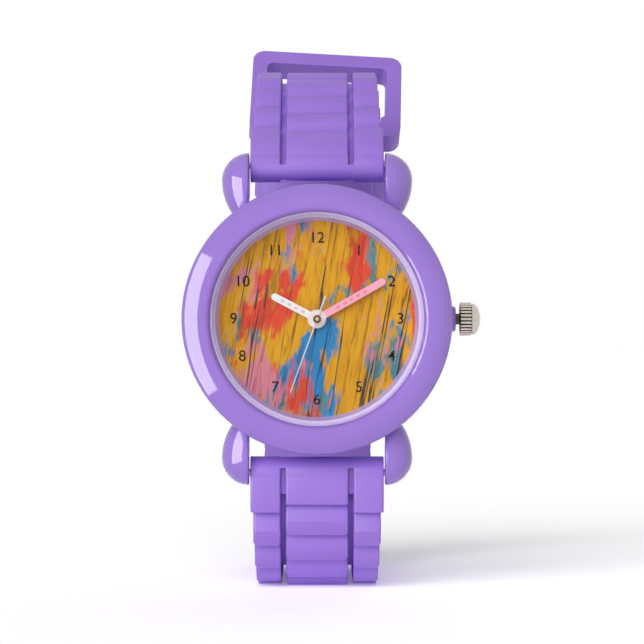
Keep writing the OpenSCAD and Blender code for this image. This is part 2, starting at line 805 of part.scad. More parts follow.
module yoke() color("gray") placed() translate([clutch_x + clutch_l / 2 - lever_t / 2, 0, 0])
    slab(0, lever_t) difference() {
        translate([stem_u - clutch_groove_r - lever_t, -clutch_r]) square([
            clutch_groove_r + lever_t + plate_back_u - stem_u - run_gap, 2 * clutch_r
        ]);
        translate([stem_u, 0]) circle(r = clutch_groove_r + run_gap);
        translate([stem_u, -clutch_groove_r - run_gap])
            square([plate_t, 2 * (clutch_groove_r + run_gap)]);
    }

module caseback() color("silver") placed() turned() polygon([
    [0, case_depth], [back_cup_r, case_depth], [back_cup_r, case_depth - back_spigot_t],
    [back_spigot_r, case_depth - back_spigot_t], [back_spigot_r, case_depth],
    [back_flange_r, case_depth], [back_flange_r, case_depth + back_flange_t],
    [back_boss_r, case_depth + back_flange_t],
    [back_boss_r - back_boss_t, case_depth + back_flange_t + back_boss_t],
    [0, case_depth + back_flange_t + back_boss_t]
]);

module caseback_gasket() color("dimgray") placed() turned()
    translate([case_bore_r, case_depth - back_gasket_t])
    square([back_gasket_r - case_bore_r, back_gasket_t]);

module spring_bars() color("silver") placed()
    for (top = [-1, 1]) translate([0, bar_u, top * bar_reach]) {
        cross_bar(bar_r, -lug_x + bar_shoulder_gap, lug_x - bar_shoulder_gap);
        cross_bar(bar_tip_r, -lug_x - bar_tip_l + run_gap, lug_x + bar_tip_l - run_gap);
    }

// Outer line of one link from length s to length s + l
function link_line(s, l, path, a) = [
    for (p = link_shares)
    offset_at(s + p[0] * l, link_h - crease_h * (1 - p[1]), path, a)
];

// Outer line of the end link, from the bevel beside the case to its first crease at length l
function end_line(l, path, a) = concat(
    [for (q = [end_foot, end_corner]) offset_at(q[0], q[1], path, a)],
    [for (p = end_shares) offset_at(p[0] * l, p[1] * link_h, path, a)]
);

// Inner line at depth h under the neutral line, run backwards from length s1 to length s0
function inner_line(s0, s1, h, path, a) =
    let (n = ceil((s1 - s0) / link_pitch))
    [for (i = [n:-1:0]) offset_at(s0 + (s1 - s0) * i / n, -h, path, a)];

// One column of links as a single outline; its first crease lies at length first_l
module column_2d(path, a, first_l, rows) {
    end_l = first_l + rows * link_pitch;
    polygon(concat(
        end_line(first_l, path, a),
        [for (k = [0:rows - 1]) for (q = link_line(first_l + k * link_pitch, link_pitch, path, a)) q],
        [offset_at(end_l, link_h - crease_h, path, a)],
        inner_line(0, end_l, column_in, path, a)
    ));
}

// One link of a side column, from length s to length s + l
module link_2d(path, a, s, l) {
    polygon(concat(
        [offset_at(s - lap, band_out, path, a)],
        link_line(s, l, path, a),
        [
            offset_at(s + l, link_h - crease_h, path, a),
            offset_at(s + l, -column_in, path, a),
            offset_at(s - lap, -column_in, path, a)
        ]
    ));
}

module end_link_2d(path, a, first_l) {
    polygon(concat(
        end_line(first_l, path, a),
        [offset_at(first_l, link_h - crease_h, path, a)],
        inner_line(0, first_l, column_in, path, a)
    ));
}

// Plain stretch of band from length s0 to length s1, up to height h
module band_2d(path, a, s0, s1, h) {
    n = ceil((s1 - s0) / link_pitch);
    polygon(concat(
        [for (i = [0:n]) offset_at(s0 + (s1 - s0) * i / n, h, path, a)],
        inner_line(s0, s1, band_in, path, a)
    ));
}

// Strap half up to its last link: a thin band, a centre column and two staggered side columns
module linked_strap(path, a, links_l) {
    rows = floor((links_l - side_next_l) / link_pitch) + 1;
    inner_x = column_w / 2 + groove_w;
    slab(-column_w / 2, column_w / 2) column_2d(path, a, end_link_l, rows);
    slab(-inner_x - lap, inner_x + lap) band_2d(path, a, 0, links_l, band_out);
    slab(-inner_x - lap / 2, inner_x + lap / 2) polygon(concat(
        end_line(shallow_l, path, a),
        [offset_at(shallow_l, (band_out - band_in) / 2, path, a), bar_point]
    ));
    for (side = [0, 1]) mirror([side, 0, 0]) {
        slab(inner_x, strap_w / 2) end_link_2d(path, a, side_first_l);
        for (k = [0:rows - 1])
            slab(inner_x, strap_half_w(side_start(k + 1)))
            link_2d(path, a, side_start(k), side_start(k + 1) - side_start(k));
    }
    translate([0, bar_u, -bar_reach]) cross_bar(barrel_r, -strap_w / 2, strap_w / 2);
}

// Cuts in the case end of a strap half: the bar's bore and the shallow start of both grooves
module end_cuts(path, a) {
    translate([0, bar_u, -bar_reach]) cross_bar(bar_r + run_gap, -strap_w, strap_w);
    for (side = [0, 1]) mirror([side, 0, 0])
        slab(column_w / 2, column_w / 2 + groove_w) polygon([
            offset_at(groove_start, shallow_h, path, a), offset_at(groove_start, 2 * link_h, path, a),
            offset_at(shallow_l + lap, 2 * link_h, path, a), offset_at(shallow_l + lap, shallow_h, path, a)
        ]);
}

module strap_12() color("mediumpurple") placed() mirror([0, 0, 1]) difference() {
    union() {
        linked_strap(upper_path, upper_start_angle, upper_links_l);
        slab(-strap_min_w / 2, strap_min_w / 2)
            band_2d(upper_path, upper_start_angle, upper_links_l - link_pitch,
                upper_l - upper_tail_l + lap, plain_h);
        translate([0, tip_pose[0], tip_pose[1]]) rotate([tip_pose[2] + 180, 0, 0]) {
            translate([-strap_min_w / 2, -band_in, 0])
                cube([strap_min_w, band_in + plain_h, upper_tail_l - strap_min_w / 2]);
            translate([0, plain_h, upper_tail_l - strap_min_w / 2]) rotate([90, 0, 0])
                cylinder(r = strap_min_w / 2, h = band_in + plain_h);
        }
    }
    end_cuts(upper_path, upper_start_angle);
    for (i = [0:hole_count - 1])
        let (s = upper_links_l + hole_inset + i * hole_pitch)
        let (q = pose_at(s, upper_path, bar_point, upper_start_angle))
        translate([0, q[0], q[1]]) rotate([q[2] + 90, 0, 0])
        translate([0, 0, -band_in - plain_h]) cylinder(r = hole_r, h = 2 * (band_in + plain_h));
}

// Straight tail of the lower strap: Z runs along it from zero at its root
module at_tail() {
    translate([0, root_pose[0], root_pose[1]]) rotate([root_pose[2] + 180, 0, 0])
        rotate([0, buckle_lean, 0]) children();
}

// The buckle's pin at the end of that tail
module at_pin() {
    at_tail() translate([0, hinge_y, lower_tail_l]) children();
}

// The buckle frame's own place, tilted outwards on that pin
module at_frame() {
    at_pin() rotate([-buckle_tilt, 0, 0]) children();
}

module strap_6() color("mediumpurple") difference() {
    placed() difference() {
        union() {
            linked_strap(lower_path, lower_start_angle, lower_links_l);
            at_tail() translate([-strap_min_w / 2, -band_in, -link_pitch / 2])
                cube([strap_min_w, band_in + plain_h, lower_tail_l + link_pitch / 2]);
            at_pin() cross_bar(loop_r, -strap_min_w / 2, strap_min_w / 2);
        }
        end_cuts(lower_path, lower_start_angle);
        at_pin() {
            cross_bar(pin_r + seat_gap, -buckle_w, buckle_w);
            translate([-slot_w / 2, -buckle_t, -slot_depth])
                cube([slot_w, 2 * buckle_t, slot_depth + buckle_l]);
        }
    }
    translate([-strap_w, -stand_u, -stand_h]) cube([2 * strap_w, 2 * case_d, stand_h]);
}

module buckle_pin() color("silver") placed() at_pin()
    cross_bar(pin_r, -buckle_w / 2 + pin_inset, buckle_w / 2 - pin_inset);

// Rectangle from z0 to z1 with round corners
module round_rect(w, z0, z1, r) {
    for (x = [-1, 1]) for (z = [z0 + r, z1 - r]) translate([x * (w / 2 - r), z]) circle(r = r);
    translate([-w / 2 + r, z0]) square([w - 2 * r, z1 - z0]);
    translate([-w / 2, z0 + r]) square([w, z1 - z0 - 2 * r]);
}

// Extrudes an outline of width and length outwards, from y0 to y1
module raised(y0, y1) {
    translate([0, y1, 0]) rotate([90, 0, 0]) linear_extrude(y1 - y0) children();
}

module buckle_frame() color("mediumpurple") placed() at_frame() difference() {
    raised(-frame_inner, frame_back_y) difference() {
        round_rect(buckle_w, -frame_foot, buckle_l, frame_round);
        round_rect(buckle_open_w, loop_r + loop_gap, far_bar_z, frame_open_round);
        translate([-strap_min_w / 2 - ear_gap, -buckle_l])
            square([strap_min_w + 2 * ear_gap, buckle_l + loop_r + loop_gap + frame_open_round]);
    }
    cross_bar(pin_r + run_gap, -buckle_w / 2 + pin_inset - run_gap, buckle_w / 2 - pin_inset + run_gap);
}

module prong() color("silver") placed() at_frame() difference() {
    union() {
        cross_bar(prong_eye_r, -prong_w / 2, prong_w / 2);
        slab(-prong_w / 2, prong_w / 2) polygon([
            [-prong_t / 2, 0], [prong_y, far_bar_z - prong_t], [prong_y, buckle_l - frame_open_round],
            [prong_y + prong_t / 2, buckle_l - frame_open_round],
            [prong_y + prong_t, far_bar_z - prong_t], [prong_t / 2, 0]
        ]);
    }
    cross_bar(pin_r + run_gap, -prong_w, prong_w);
}

module keeper() color("mediumpurple") placed() at_pin() translate([0, -hinge_y, keeper_z])
    linear_extrude(keeper_l) difference() {
        round_rect(strap_min_w + 2 * (keeper_gap + keeper_wall), -band_in - keeper_gap - keeper_wall,
            plain_h + keeper_room + keeper_wall, keeper_round + keeper_wall);
        round_rect(strap_min_w + 2 * keeper_gap, -band_in - keeper_gap,
            plain_h + keeper_room, keeper_round);
    }

case_body();
lens();
lens_gasket();
dial();
hour_hand();
minute_hand();
second_hand();
hour_wheel();
cannon_pinion();
second_wheel();
minute_wheel();
setting_wheel();
intermediate_wheel();
rotor();
stator();
coil();
circuit_board();
quartz_can();
battery();
battery_strap();
main_plate();
train_bridge();
movement_ring();
stem();
crown();
crown_gasket();
setting_lever();
clutch_wheel();
yoke();
caseback();
caseback_gasket();
spring_bars();
strap_12();
strap_6();
buckle_pin();
buckle_frame();
prong();
keeper();
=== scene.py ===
import json
import math

import bpy
from mathutils import Matrix, Vector

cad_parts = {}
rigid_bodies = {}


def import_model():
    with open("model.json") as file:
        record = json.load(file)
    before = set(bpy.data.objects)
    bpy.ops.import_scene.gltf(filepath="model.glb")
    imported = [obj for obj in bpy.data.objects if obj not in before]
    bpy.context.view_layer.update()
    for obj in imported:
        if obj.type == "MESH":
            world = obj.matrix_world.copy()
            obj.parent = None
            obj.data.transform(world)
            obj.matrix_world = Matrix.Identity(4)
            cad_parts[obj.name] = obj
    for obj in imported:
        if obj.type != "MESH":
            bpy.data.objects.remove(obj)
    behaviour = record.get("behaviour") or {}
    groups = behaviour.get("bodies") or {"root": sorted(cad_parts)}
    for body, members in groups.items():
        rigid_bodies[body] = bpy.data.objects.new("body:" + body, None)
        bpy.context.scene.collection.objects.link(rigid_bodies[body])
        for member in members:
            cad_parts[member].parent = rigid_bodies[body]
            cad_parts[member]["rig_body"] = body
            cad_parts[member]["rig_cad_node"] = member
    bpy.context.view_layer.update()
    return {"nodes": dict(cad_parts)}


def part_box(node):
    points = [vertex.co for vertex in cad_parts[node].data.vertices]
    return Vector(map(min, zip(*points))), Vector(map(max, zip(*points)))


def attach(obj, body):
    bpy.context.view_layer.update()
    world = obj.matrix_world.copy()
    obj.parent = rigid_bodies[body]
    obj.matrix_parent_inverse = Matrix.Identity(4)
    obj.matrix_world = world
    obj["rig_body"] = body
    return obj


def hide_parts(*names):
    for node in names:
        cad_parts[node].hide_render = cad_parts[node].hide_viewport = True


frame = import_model()

# Case: one ABS moulding, a puffy bezel ring with a seat for the lens in front and a bore behind.
# It comes glossy out of a polished tool, in one piece with its lugs and the collar round the stem.
# The ring is a section, spun round the dial's axis: radii, and depths behind the ring's front, in mm.
mm = 0.001
touching = 1e-6
lens_low, lens_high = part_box("lens")
dial_x = (lens_low.x + lens_high.x) / 2
dial_z = (lens_low.z + lens_high.z) / 2
ring_front_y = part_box("case_body")[0].y
crest_r, lip_fall, face_round, face_turn, edge_round = 13.1, 0.885, 3.73, 40, 0.85
rear_r, rear_round, rear_centre_u, rear_u = 13.2, 2.6, 6.2, 8.5
lens_seat_r, lens_ledge_r, lens_ledge_u = 12.45, 11.9, 2.65
dial_edge_r, dial_seat_u, bore_r = 11.5, 4.3, 12.0
back_recess_r, back_recess_u = 12.9, 8.2
lip_steps, face_steps, edge_steps, rear_steps, ring_steps = 8, 14, 8, 12, 160


def on_dial(x, u, w):
    """Point x to the right of the dial's axis, w above it and u behind the ring's front, all in mm."""
    return Vector((dial_x + x * mm, ring_front_y + u * mm, dial_z + w * mm))


def take(piece):
    """Makes a piece the active one, and the only one selected."""
    bpy.ops.object.select_all(action="DESELECT")
    piece.select_set(True)
    bpy.context.view_layer.objects.active = piece


def pick(piece, kind, test):
    """Opens a piece in edit mode with those edges or faces selected whose corners pass a test."""
    take(piece)
    bpy.ops.object.mode_set(mode="EDIT")
    bpy.ops.mesh.select_mode(type=kind)
    bpy.ops.mesh.select_all(action="DESELECT")
    bpy.ops.object.mode_set(mode="OBJECT")
    mesh = piece.data
    for item in mesh.edges if kind == "EDGE" else mesh.polygons:
        item.select = bool(test([mesh.vertices[v].co for v in item.vertices]))
    bpy.ops.object.mode_set(mode="EDIT")


def done(piece, angle=None):
    """Back to object mode, with smooth shading across edges flatter than the angle in degrees."""
    bpy.ops.object.mode_set(mode="OBJECT")
    if angle is not None:
        take(piece)
        bpy.ops.object.shade_smooth_by_angle(angle=math.radians(angle))
    return piece


def spun(name, outline, centre, axis, steps, angle=2 * math.pi, closed=True):
    """An outline of points, spun round an axis; an open one has no edge from its last point to its first."""
    bpy.ops.object.select_all(action="DESELECT")
    bpy.ops.mesh.primitive_circle_add(vertices=len(outline))
    piece = bpy.context.object
    piece.name = piece.data.name = name
    for vertex, point in zip(piece.data.vertices, outline):
        vertex.co = point
    if closed:
        bpy.ops.object.mode_set(mode="EDIT")
    else:
        ends = (outline[0], outline[-1])
        pick(piece, "EDGE", lambda corners: all(
            min((point - end).length for end in ends) < touching for point in corners
        ))
        bpy.ops.mesh.delete(type="EDGE")
    bpy.ops.mesh.select_all(action="SELECT")
    bpy.ops.mesh.spin(steps=steps, angle=angle, center=centre, axis=axis)
    bpy.ops.mesh.select_all(action="SELECT")
    bpy.ops.mesh.remove_doubles(threshold=touching)
    bpy.ops.mesh.normals_make_consistent(inside=False)
    return done(piece)


def section_arc(centre_r, centre_u, across, deep, start, end, steps):
    """Points of radius and depth on a round of the ring's section; 0 degrees is outwards, 90 the front."""
    turns = [math.radians(start + (end - start) * i / steps) for i in range(steps + 1)]
    return [(centre_r + across * math.cos(turn), centre_u - deep * math.sin(turn)) for turn in turns]


edge_start = 90 - face_turn
edge_r = crest_r + (face_round - edge_round) * math.sin(math.radians(face_turn))
edge_u = face_round - (face_round - edge_round) * math.cos(math.radians(face_turn))
rear_turn = math.degrees(math.asin((rear_u - rear_centre_u) / rear_round))
section = section_arc(crest_r, lip_fall, crest_r - lens_seat_r, lip_fall, 180, 90, lip_steps)
section += section_arc(crest_r, face_round, face_round, face_round, 90, edge_start, face_steps)[1:]
section += section_arc(edge_r, edge_u, edge_round, edge_round, edge_start, 0, edge_steps)[1:]
section += section_arc(rear_r, rear_centre_u, rear_round, rear_round, 0, -rear_turn, rear_steps)
section += [
    (back_recess_r, rear_u), (back_recess_r, back_recess_u), (bore_r, back_recess_u), (bore_r, dial_seat_u),
    (dial_edge_r, dial_seat_u), (lens_ledge_r, lens_ledge_u), (lens_seat_r, lens_ledge_u),
]
case_ring = spun("case_ring", [on_dial(r, u, 0) for r, u in section], on_dial(0, 0, 0), (0, 1, 0), ring_steps)

# The stem's bore goes through the wall at three o'clock, and a short collar stands round it.
stem_u, stem_bore_r, drill_x, drill_l, drill_sides = 6.5, 0.85, 14, 6, 32
collar_r, collar_start_x, collar_end_x, collar_round, collar_steps = 1.5, 14.6, 16.35, 0.2, 48


def cut_out(piece, tool):
    """Takes the form of a tool out of a piece, and puts the tool away."""
    take(piece)
    cut = piece.modifiers.new("cut", "BOOLEAN")
    cut.object, cut.operation, cut.solver = tool, "DIFFERENCE", "EXACT"
    bpy.ops.object.modifier_apply(modifier=cut.name)
    bpy.data.objects.remove(tool)


bpy.ops.object.select_all(action="DESELECT")
bpy.ops.mesh.primitive_cylinder_add(
    vertices=drill_sides, radius=stem_bore_r * mm, depth=drill_l * mm,
    location=on_dial(drill_x, stem_u, 0), rotation=(0, math.pi / 2, 0),
)
cut_out(case_ring, bpy.context.object)
collar_line = [(collar_start_x, collar_r), (collar_end_x - collar_round, collar_r)]
collar_line += [
    (collar_end_x - collar_round * (1 - math.sin(turn)), collar_r - collar_round * (1 - math.cos(turn)))
    for turn in (math.pi / 6, math.pi / 3, math.pi / 2)
]
collar_line += [(collar_end_x, stem_bore_r), (collar_start_x, stem_bore_r)]
collar_points = [on_dial(x, stem_u, r) for x, r in collar_line]
collar = spun("collar", collar_points, on_dial(0, stem_u, 0), (1, 0, 0), collar_steps)

# Four lugs, half teardrops with a flat inner face, run from under the bezel out past the spring bars.
lug_x, lug_u, lug_reach, lug_big_r, lug_side_r, lug_edge = 8.0, 6.0, 16.35, 3.25, 7.0, 0.3
lug_tip_steps, lug_side_steps, lug_steps, case_smooth = 14, 12, 28, 32
lug_tip_turns = [math.pi / 2 * (1 - i / lug_tip_steps) for i in range(lug_tip_steps + 1)]
lug_root_turn = math.acos(1 - lug_big_r / lug_side_r)
lug_side_turns = [lug_root_turn * i / lug_side_steps for i in range(1, lug_side_steps + 1)]
lug_line = [
    (lug_big_r * math.cos(turn), lug_reach + lug_big_r * math.sin(turn)) for turn in lug_tip_turns
] + [
    (lug_big_r - lug_side_r * (1 - math.cos(turn)), lug_reach - lug_side_r * math.sin(turn))
    for turn in lug_side_turns
]


def joined(name, *pieces):
    """Several pieces made one, under a new name."""
    take(pieces[0])
    for piece in pieces:
        piece.select_set(True)
    bpy.ops.object.join()
    pieces[0].name = pieces[0].data.name = name
    return pieces[0]


lugs = []
for side in (-1, 1):
    for end in (-1, 1):
        outline = [on_dial(side * lug_x, lug_u + r, end * w) for r, w in lug_line]
        pivot = on_dial(side * lug_x, lug_u, 0)
        lug = spun("lug", outline, pivot, (0, 0, side), lug_steps, math.pi, closed=False)
        pick(lug, "EDGE", lambda corners: all(abs(point.x - pivot.x) < touching for point in corners))
        bpy.ops.mesh.edge_face_add()
        bpy.ops.mesh.bevel(offset=lug_edge * mm, segments=4, affect="EDGES")
        bpy.ops.mesh.select_all(action="SELECT")
        bpy.ops.mesh.normals_make_consistent(inside=False)
        lugs.append(done(lug))
case = done(joined("case", case_ring, collar, *lugs), case_smooth)

# Gloss ABS: an even purple, mirror-smooth apart from the faint waviness that a moulded wall shows.
# The sloping flange between lens and dial is thin; its paler colour is painted light, standing in for the
# light that comes through it.
case_purple, case_shade = "#A17CDC", "#9974D5"
flange_light, flange_shade = "#CFBFF6", "#C2B0EE"
case_wave_mm, case_grain_mm, case_ripple_mm, abs_ior, flange_margin = 7.0, 0.8, 0.2, 1.53, 0.01


def linear(hex_colour):
    """sRGB hex to the linear colour that a shader takes."""
    parts = [int(hex_colour[i : i + 2], 16) / 255 for i in (1, 3, 5)]
    return [p / 12.92 if p <= 0.04045 else ((p + 0.055) / 1.055) ** 2.4 for p in parts] + [1.0]


def add_node(tree, kind, settings=None, inputs=None):
    """Adds a shader node with its settings; an input is a value, or the socket that feeds it."""
    made = tree.nodes.new("ShaderNode" + kind)
    for key, value in (settings or {}).items():
        setattr(made, key, value)
    for key, value in (inputs or {}).items():
        if isinstance(value, bpy.types.NodeSocket):
            tree.links.new(value, made.inputs[key])
        else:
            made.inputs[key].default_value = value
    return made


def new_material(name):
    """An empty material and its node tree."""
    made = bpy.data.materials.new(name)
    made.use_nodes = True
    made.node_tree.nodes.clear()
    return made, made.node_tree


def give(piece, *materials):
    """Puts these materials on a piece in place of any that it has."""
    piece.data.materials.clear()
    for made in materials:
        piece.data.materials.append(made)


gloss_abs, tree = new_material("gloss_purple_abs")
place = add_node(tree, "TexCoord").outputs["Object"]
wave = add_node(tree, "TexNoise", inputs={"Vector": place, "Scale": 1 / (case_wave_mm * mm), "Detail": 2.0})
grain = add_node(tree, "TexNoise", inputs={"Vector": place, "Scale": 1 / (case_grain_mm * mm), "Detail": 3.0})
tint = add_node(tree, "MixRGB", inputs={
    "Fac": wave.outputs["Fac"], "Color1": linear(case_purple), "Color2": linear(case_shade),
})
polish = add_node(tree, "MapRange", inputs={"Value": grain.outputs["Fac"], "To Min": 0.04, "To Max": 0.08})
ripple = add_node(tree, "Bump", inputs={
    "Height": wave.outputs["Fac"], "Strength": 0.015, "Distance": case_ripple_mm * mm,
})
skin = add_node(tree, "BsdfPrincipled", inputs={
    "Base Color": tint.outputs["Color"], "Roughness": polish.outputs["Result"], "IOR": abs_ior,
    "Normal": ripple.outputs["Normal"],
})
add_node(tree, "OutputMaterial", inputs={"Surface": skin.outputs["BSDF"]})
glow_painted_abs, tree = new_material("glow_painted_purple_abs")
place = add_node(tree, "TexCoord").outputs["Object"]
wave = add_node(tree, "TexNoise", inputs={"Vector": place, "Scale": 1 / (case_wave_mm * mm), "Detail": 2.0})
tint = add_node(tree, "MixRGB", inputs={
    "Fac": wave.outputs["Fac"], "Color1": linear(flange_light), "Color2": linear(flange_shade),
})
skin = add_node(tree, "BsdfPrincipled", inputs={
    "Base Color": tint.outputs["Color"], "Roughness": 0.25, "IOR": abs_ior,
})
add_node(tree, "OutputMaterial", inputs={"Surface": skin.outputs["BSDF"]})
give(case, gloss_abs, glow_painted_abs)
# Painted light: the flange's faces between lens seat and dial take the paler material.
for face in case.data.polygons:
    r = math.hypot(face.center.x - dial_x, face.center.z - dial_z) / mm
    u = (face.center.y - ring_front_y) / mm
    thin = r < lens_seat_r + flange_margin and lip_fall < u < dial_seat_u - flange_margin
    face.material_index = 1 if thin else 0
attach(case, "case")
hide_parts("case_body")

# Lens: a clear acrylic disc, pressed into the ring against a nylon seal.
# Its front edge is bevelled and ground, which shows as a pale ring inside the bezel: partly the milky frost,
# partly painted highlight.
# The front is coated against glare, so its index is low and the dial shows through without a veil.
lens_front_u, lens_depth, lens_r, lens_bevel, lens_sides, lens_smooth = 0.95, 1.4, 12.43, 0.2, 160, 20
lens_haze_mm, lens_frost_mm, coated_ior, acrylic_ior = 3.0, 0.3, 1.15, 1.49
lens_clear, lens_tint, frost_light, frost_shade = "#FFFFFF", "#FAFAFC", "#F4EEFF", "#E6DCF8"
bevel_least, bevel_most = 0.2, 0.95
bpy.ops.object.select_all(action="DESELECT")
bpy.ops.mesh.primitive_cylinder_add(
    vertices=lens_sides, radius=lens_r * mm, depth=lens_depth * mm,
    location=on_dial(0, lens_front_u + lens_depth / 2, 0), rotation=(math.pi / 2, 0, 0),
)
crystal = bpy.context.object
crystal.name = crystal.data.name = "crystal"
bpy.ops.object.transform_apply(location=True, rotation=True, scale=True)
lens_front_y = on_dial(0, lens_front_u, 0).y
pick(crystal, "EDGE", lambda corners: all(abs(point.y - lens_front_y) < touching for point in corners))
bpy.ops.mesh.bevel(offset=lens_bevel * mm, segments=1, affect="EDGES")
done(crystal, lens_smooth)
# Clear acrylic bends what is seen through it, and lets the light through to the dial as it comes.
clear_acrylic, tree = new_material("clear_acrylic")
place = add_node(tree, "TexCoord").outputs["Object"]
haze = add_node(tree, "TexNoise", inputs={"Vector": place, "Scale": 1 / (lens_haze_mm * mm), "Detail": 2.0})
gloss = add_node(tree, "MapRange", inputs={"Value": haze.outputs["Fac"], "To Min": 0.0, "To Max": 0.02})
glass = add_node(tree, "BsdfPrincipled", inputs={
    "Base Color": linear(lens_clear), "Roughness": gloss.outputs["Result"], "IOR": coated_ior,
    "Transmission Weight": 1.0,
})
open_way = add_node(tree, "BsdfTransparent", inputs={"Color": linear(lens_tint)})
path = add_node(tree, "LightPath")
light_ray = add_node(tree, "Math", {"operation": "MAXIMUM"}, {
    0: path.outputs["Is Shadow Ray"], 1: path.outputs["Is Diffuse Ray"],
})
pane = add_node(tree, "MixShader", inputs={
    0: light_ray.outputs["Value"], 1: glass.outputs["BSDF"], 2: open_way.outputs["BSDF"],
})
add_node(tree, "OutputMaterial", inputs={"Surface": pane.outputs["Shader"]})
# The ground edge is frosted, so it scatters light and looks milky; its near-white colour is also a painted
# highlight along the bevel.
edge_frost_and_highlight, tree = new_material("ground_acrylic_edge_and_painted_highlight")
place = add_node(tree, "TexCoord").outputs["Object"]
frost = add_node(tree, "TexNoise", inputs={"Vector": place, "Scale": 1 / (lens_frost_mm * mm), "Detail": 2.0})
milk_and_highlight = add_node(tree, "MixRGB", inputs={
    "Fac": frost.outputs["Fac"], "Color1": linear(frost_light), "Color2": linear(frost_shade),
})
edge = add_node(tree, "BsdfPrincipled", inputs={
    "Base Color": milk_and_highlight.outputs["Color"], "Roughness": 0.35, "IOR": acrylic_ior,
})
add_node(tree, "OutputMaterial", inputs={"Surface": edge.outputs["BSDF"]})
give(crystal, clear_acrylic, edge_frost_and_highlight)
for face in crystal.data.polygons:
    face.material_index = 1 if bevel_least < -face.normal.y < bevel_most else 0
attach(crystal, "case")
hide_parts("lens")

# Dial: a thin metal disc, printed in colours that look like worn paint on boards.
# Slanting streaks of ochre carry patches of blue, red and pink, with dark cracks along the grain.
# The print is satin and lies behind the coated lens, so it shows hardly any gloss.
dial = frame["nodes"]["dial"]
grain_lean, streak_mm = math.radians(-10), 0.7
ochre, amber, umber, sand = "#D09010", "#E2A81E", "#765414", "#B89E6A"
grain_wear, worn_off, worn_whole, thin_paint, thick_paint = 0.24, 0.1, 0.145, 0.36, 0.52
printed_dial, tree = new_material("printed_worn_paint_dial")
place = add_node(tree, "TexCoord").outputs["Object"]
centred = add_node(tree, "Mapping", inputs={"Vector": place, "Location": (-dial_x, 0.0, -dial_z)})
board = add_node(tree, "Mapping", inputs={
    "Vector": centred.outputs["Vector"], "Rotation": (0.0, grain_lean, 0.0),
})
along = {}
for use, stretch in (("streak", 0.1), ("patch", 0.42), ("crack", 0.03), ("fleck", 0.3)):
    along[use] = add_node(tree, "Mapping", inputs={
        "Vector": board.outputs["Vector"], "Scale": (1.0, 1.0, stretch),
    }).outputs["Vector"]
streak = add_node(tree, "TexNoise", inputs={
    "Vector": along["streak"], "Scale": 1 / (streak_mm * mm), "Detail": 7.0, "Roughness": 0.68,
})
ground = add_node(tree, "ValToRGB", inputs={"Fac": streak.outputs["Fac"]})
stops = ground.color_ramp.elements
stops[0].position, stops[0].color = 0.33, linear(umber)
stops[1].position, stops[1].color = 0.72, linear(sand)
for position, colour in ((0.42, ochre), (0.53, amber), (0.62, ochre)):
    stops.new(position).color = linear(colour)
layer = ground.outputs["Color"]
# Paints that are left on the boards: colour, darker tone in the grain, place in the noise, level, size in mm
paints = (
    ("#2F86BC", "#1F5E86", (3.4, 0.0, 21.7), 0.58, 6.0),
    ("#578C92", "#3A6872", (41.2, 0.0, 9.5), 0.6, 4.2),
    ("#D98490", "#B7667A", (27.1, 0.0, 2.2), 0.575, 6.0),
    ("#E04C32", "#B93522", (17.9, 0.0, 38.6), 0.57, 6.0),
)
for colour, tone, shift, level, patch_mm in paints:
    moved = add_node(tree, "Mapping", inputs={
        "Vector": along["patch"], "Location": tuple(v * mm for v in shift),
    })
    blot = add_node(tree, "TexNoise", inputs={
        "Vector": moved.outputs["Vector"], "Scale": 1 / (patch_mm * mm), "Detail": 6.0, "Roughness": 0.6,
        "Distortion": 0.3,
    })
    worn = add_node(tree, "Math", {"operation": "MULTIPLY_ADD"}, {
        0: streak.outputs["Fac"], 1: grain_wear, 2: blot.outputs["Fac"],
    })
    keep = add_node(tree, "MapRange", inputs={
        "Value": worn.outputs["Value"], "From Min": level + worn_off, "From Max": level + worn_whole,
    })
    thick = add_node(tree, "MapRange", inputs={
        "Value": streak.outputs["Fac"], "From Min": thin_paint, "From Max": thick_paint,
    })
    paint = add_node(tree, "MixRGB", inputs={
        "Fac": thick.outputs["Result"], "Color1": linear(tone), "Color2": linear(colour),
    })
    layer = add_node(tree, "MixRGB", inputs={
        "Fac": keep.outputs["Result"], "Color1": layer, "Color2": paint.outputs["Color"],
    }).outputs["Color"]
# Cracks follow a level line of a noise that is drawn out along the grain. Flecks are where paint fell off.
# Each: use, size in mm, level in the noise, width of the level, strength of the colour, colour
damage = (
    ("crack", 3.2, 0.5, 0.008, 0.9, "#20262B"),
    ("crack", 1.1, 0.6, 0.007, 0.55, "#3A3322"),
    ("fleck", 0.5, 0.74, 0.03, 0.7, "#2A2E2C"),
)
for use, pattern_mm, middle, width, depth, colour in damage:
    spread = add_node(tree, "TexNoise", inputs={
        "Vector": along[use], "Scale": 1 / (pattern_mm * mm), "Detail": 4.0, "Roughness": 0.6,
    })
    bare = add_node(tree, "Math", {"operation": "COMPARE"}, {0: spread.outputs["Fac"], 1: middle, 2: width})
    line = add_node(tree, "Math", {"operation": "MULTIPLY"}, {0: bare.outputs["Value"], 1: depth})
    layer = add_node(tree, "MixRGB", inputs={
        "Fac": line.outputs["Value"], "Color1": layer, "Color2": linear(colour),
    }).outputs["Color"]
ink = add_node(tree, "BsdfPrincipled", inputs={
    "Base Color": layer, "Roughness": 0.45, "IOR": 1.5, "Specular IOR Level": 0.15,
})
add_node(tree, "OutputMaterial", inputs={"Surface": ink.outputs["BSDF"]})
give(dial, printed_dial)

# Numbers: one to twelve in a thin plain face, printed over the dial's colours.
# The black ink is dull and slightly uneven. It stands a hair above the dial, as a thick print does.
number_size, number_bold, number_curve, print_lift, ink_speck_mm = 1.82, 0.012, 6, 0.02, 0.2
ink_black, ink_worn = "#0B0A08", "#171410"
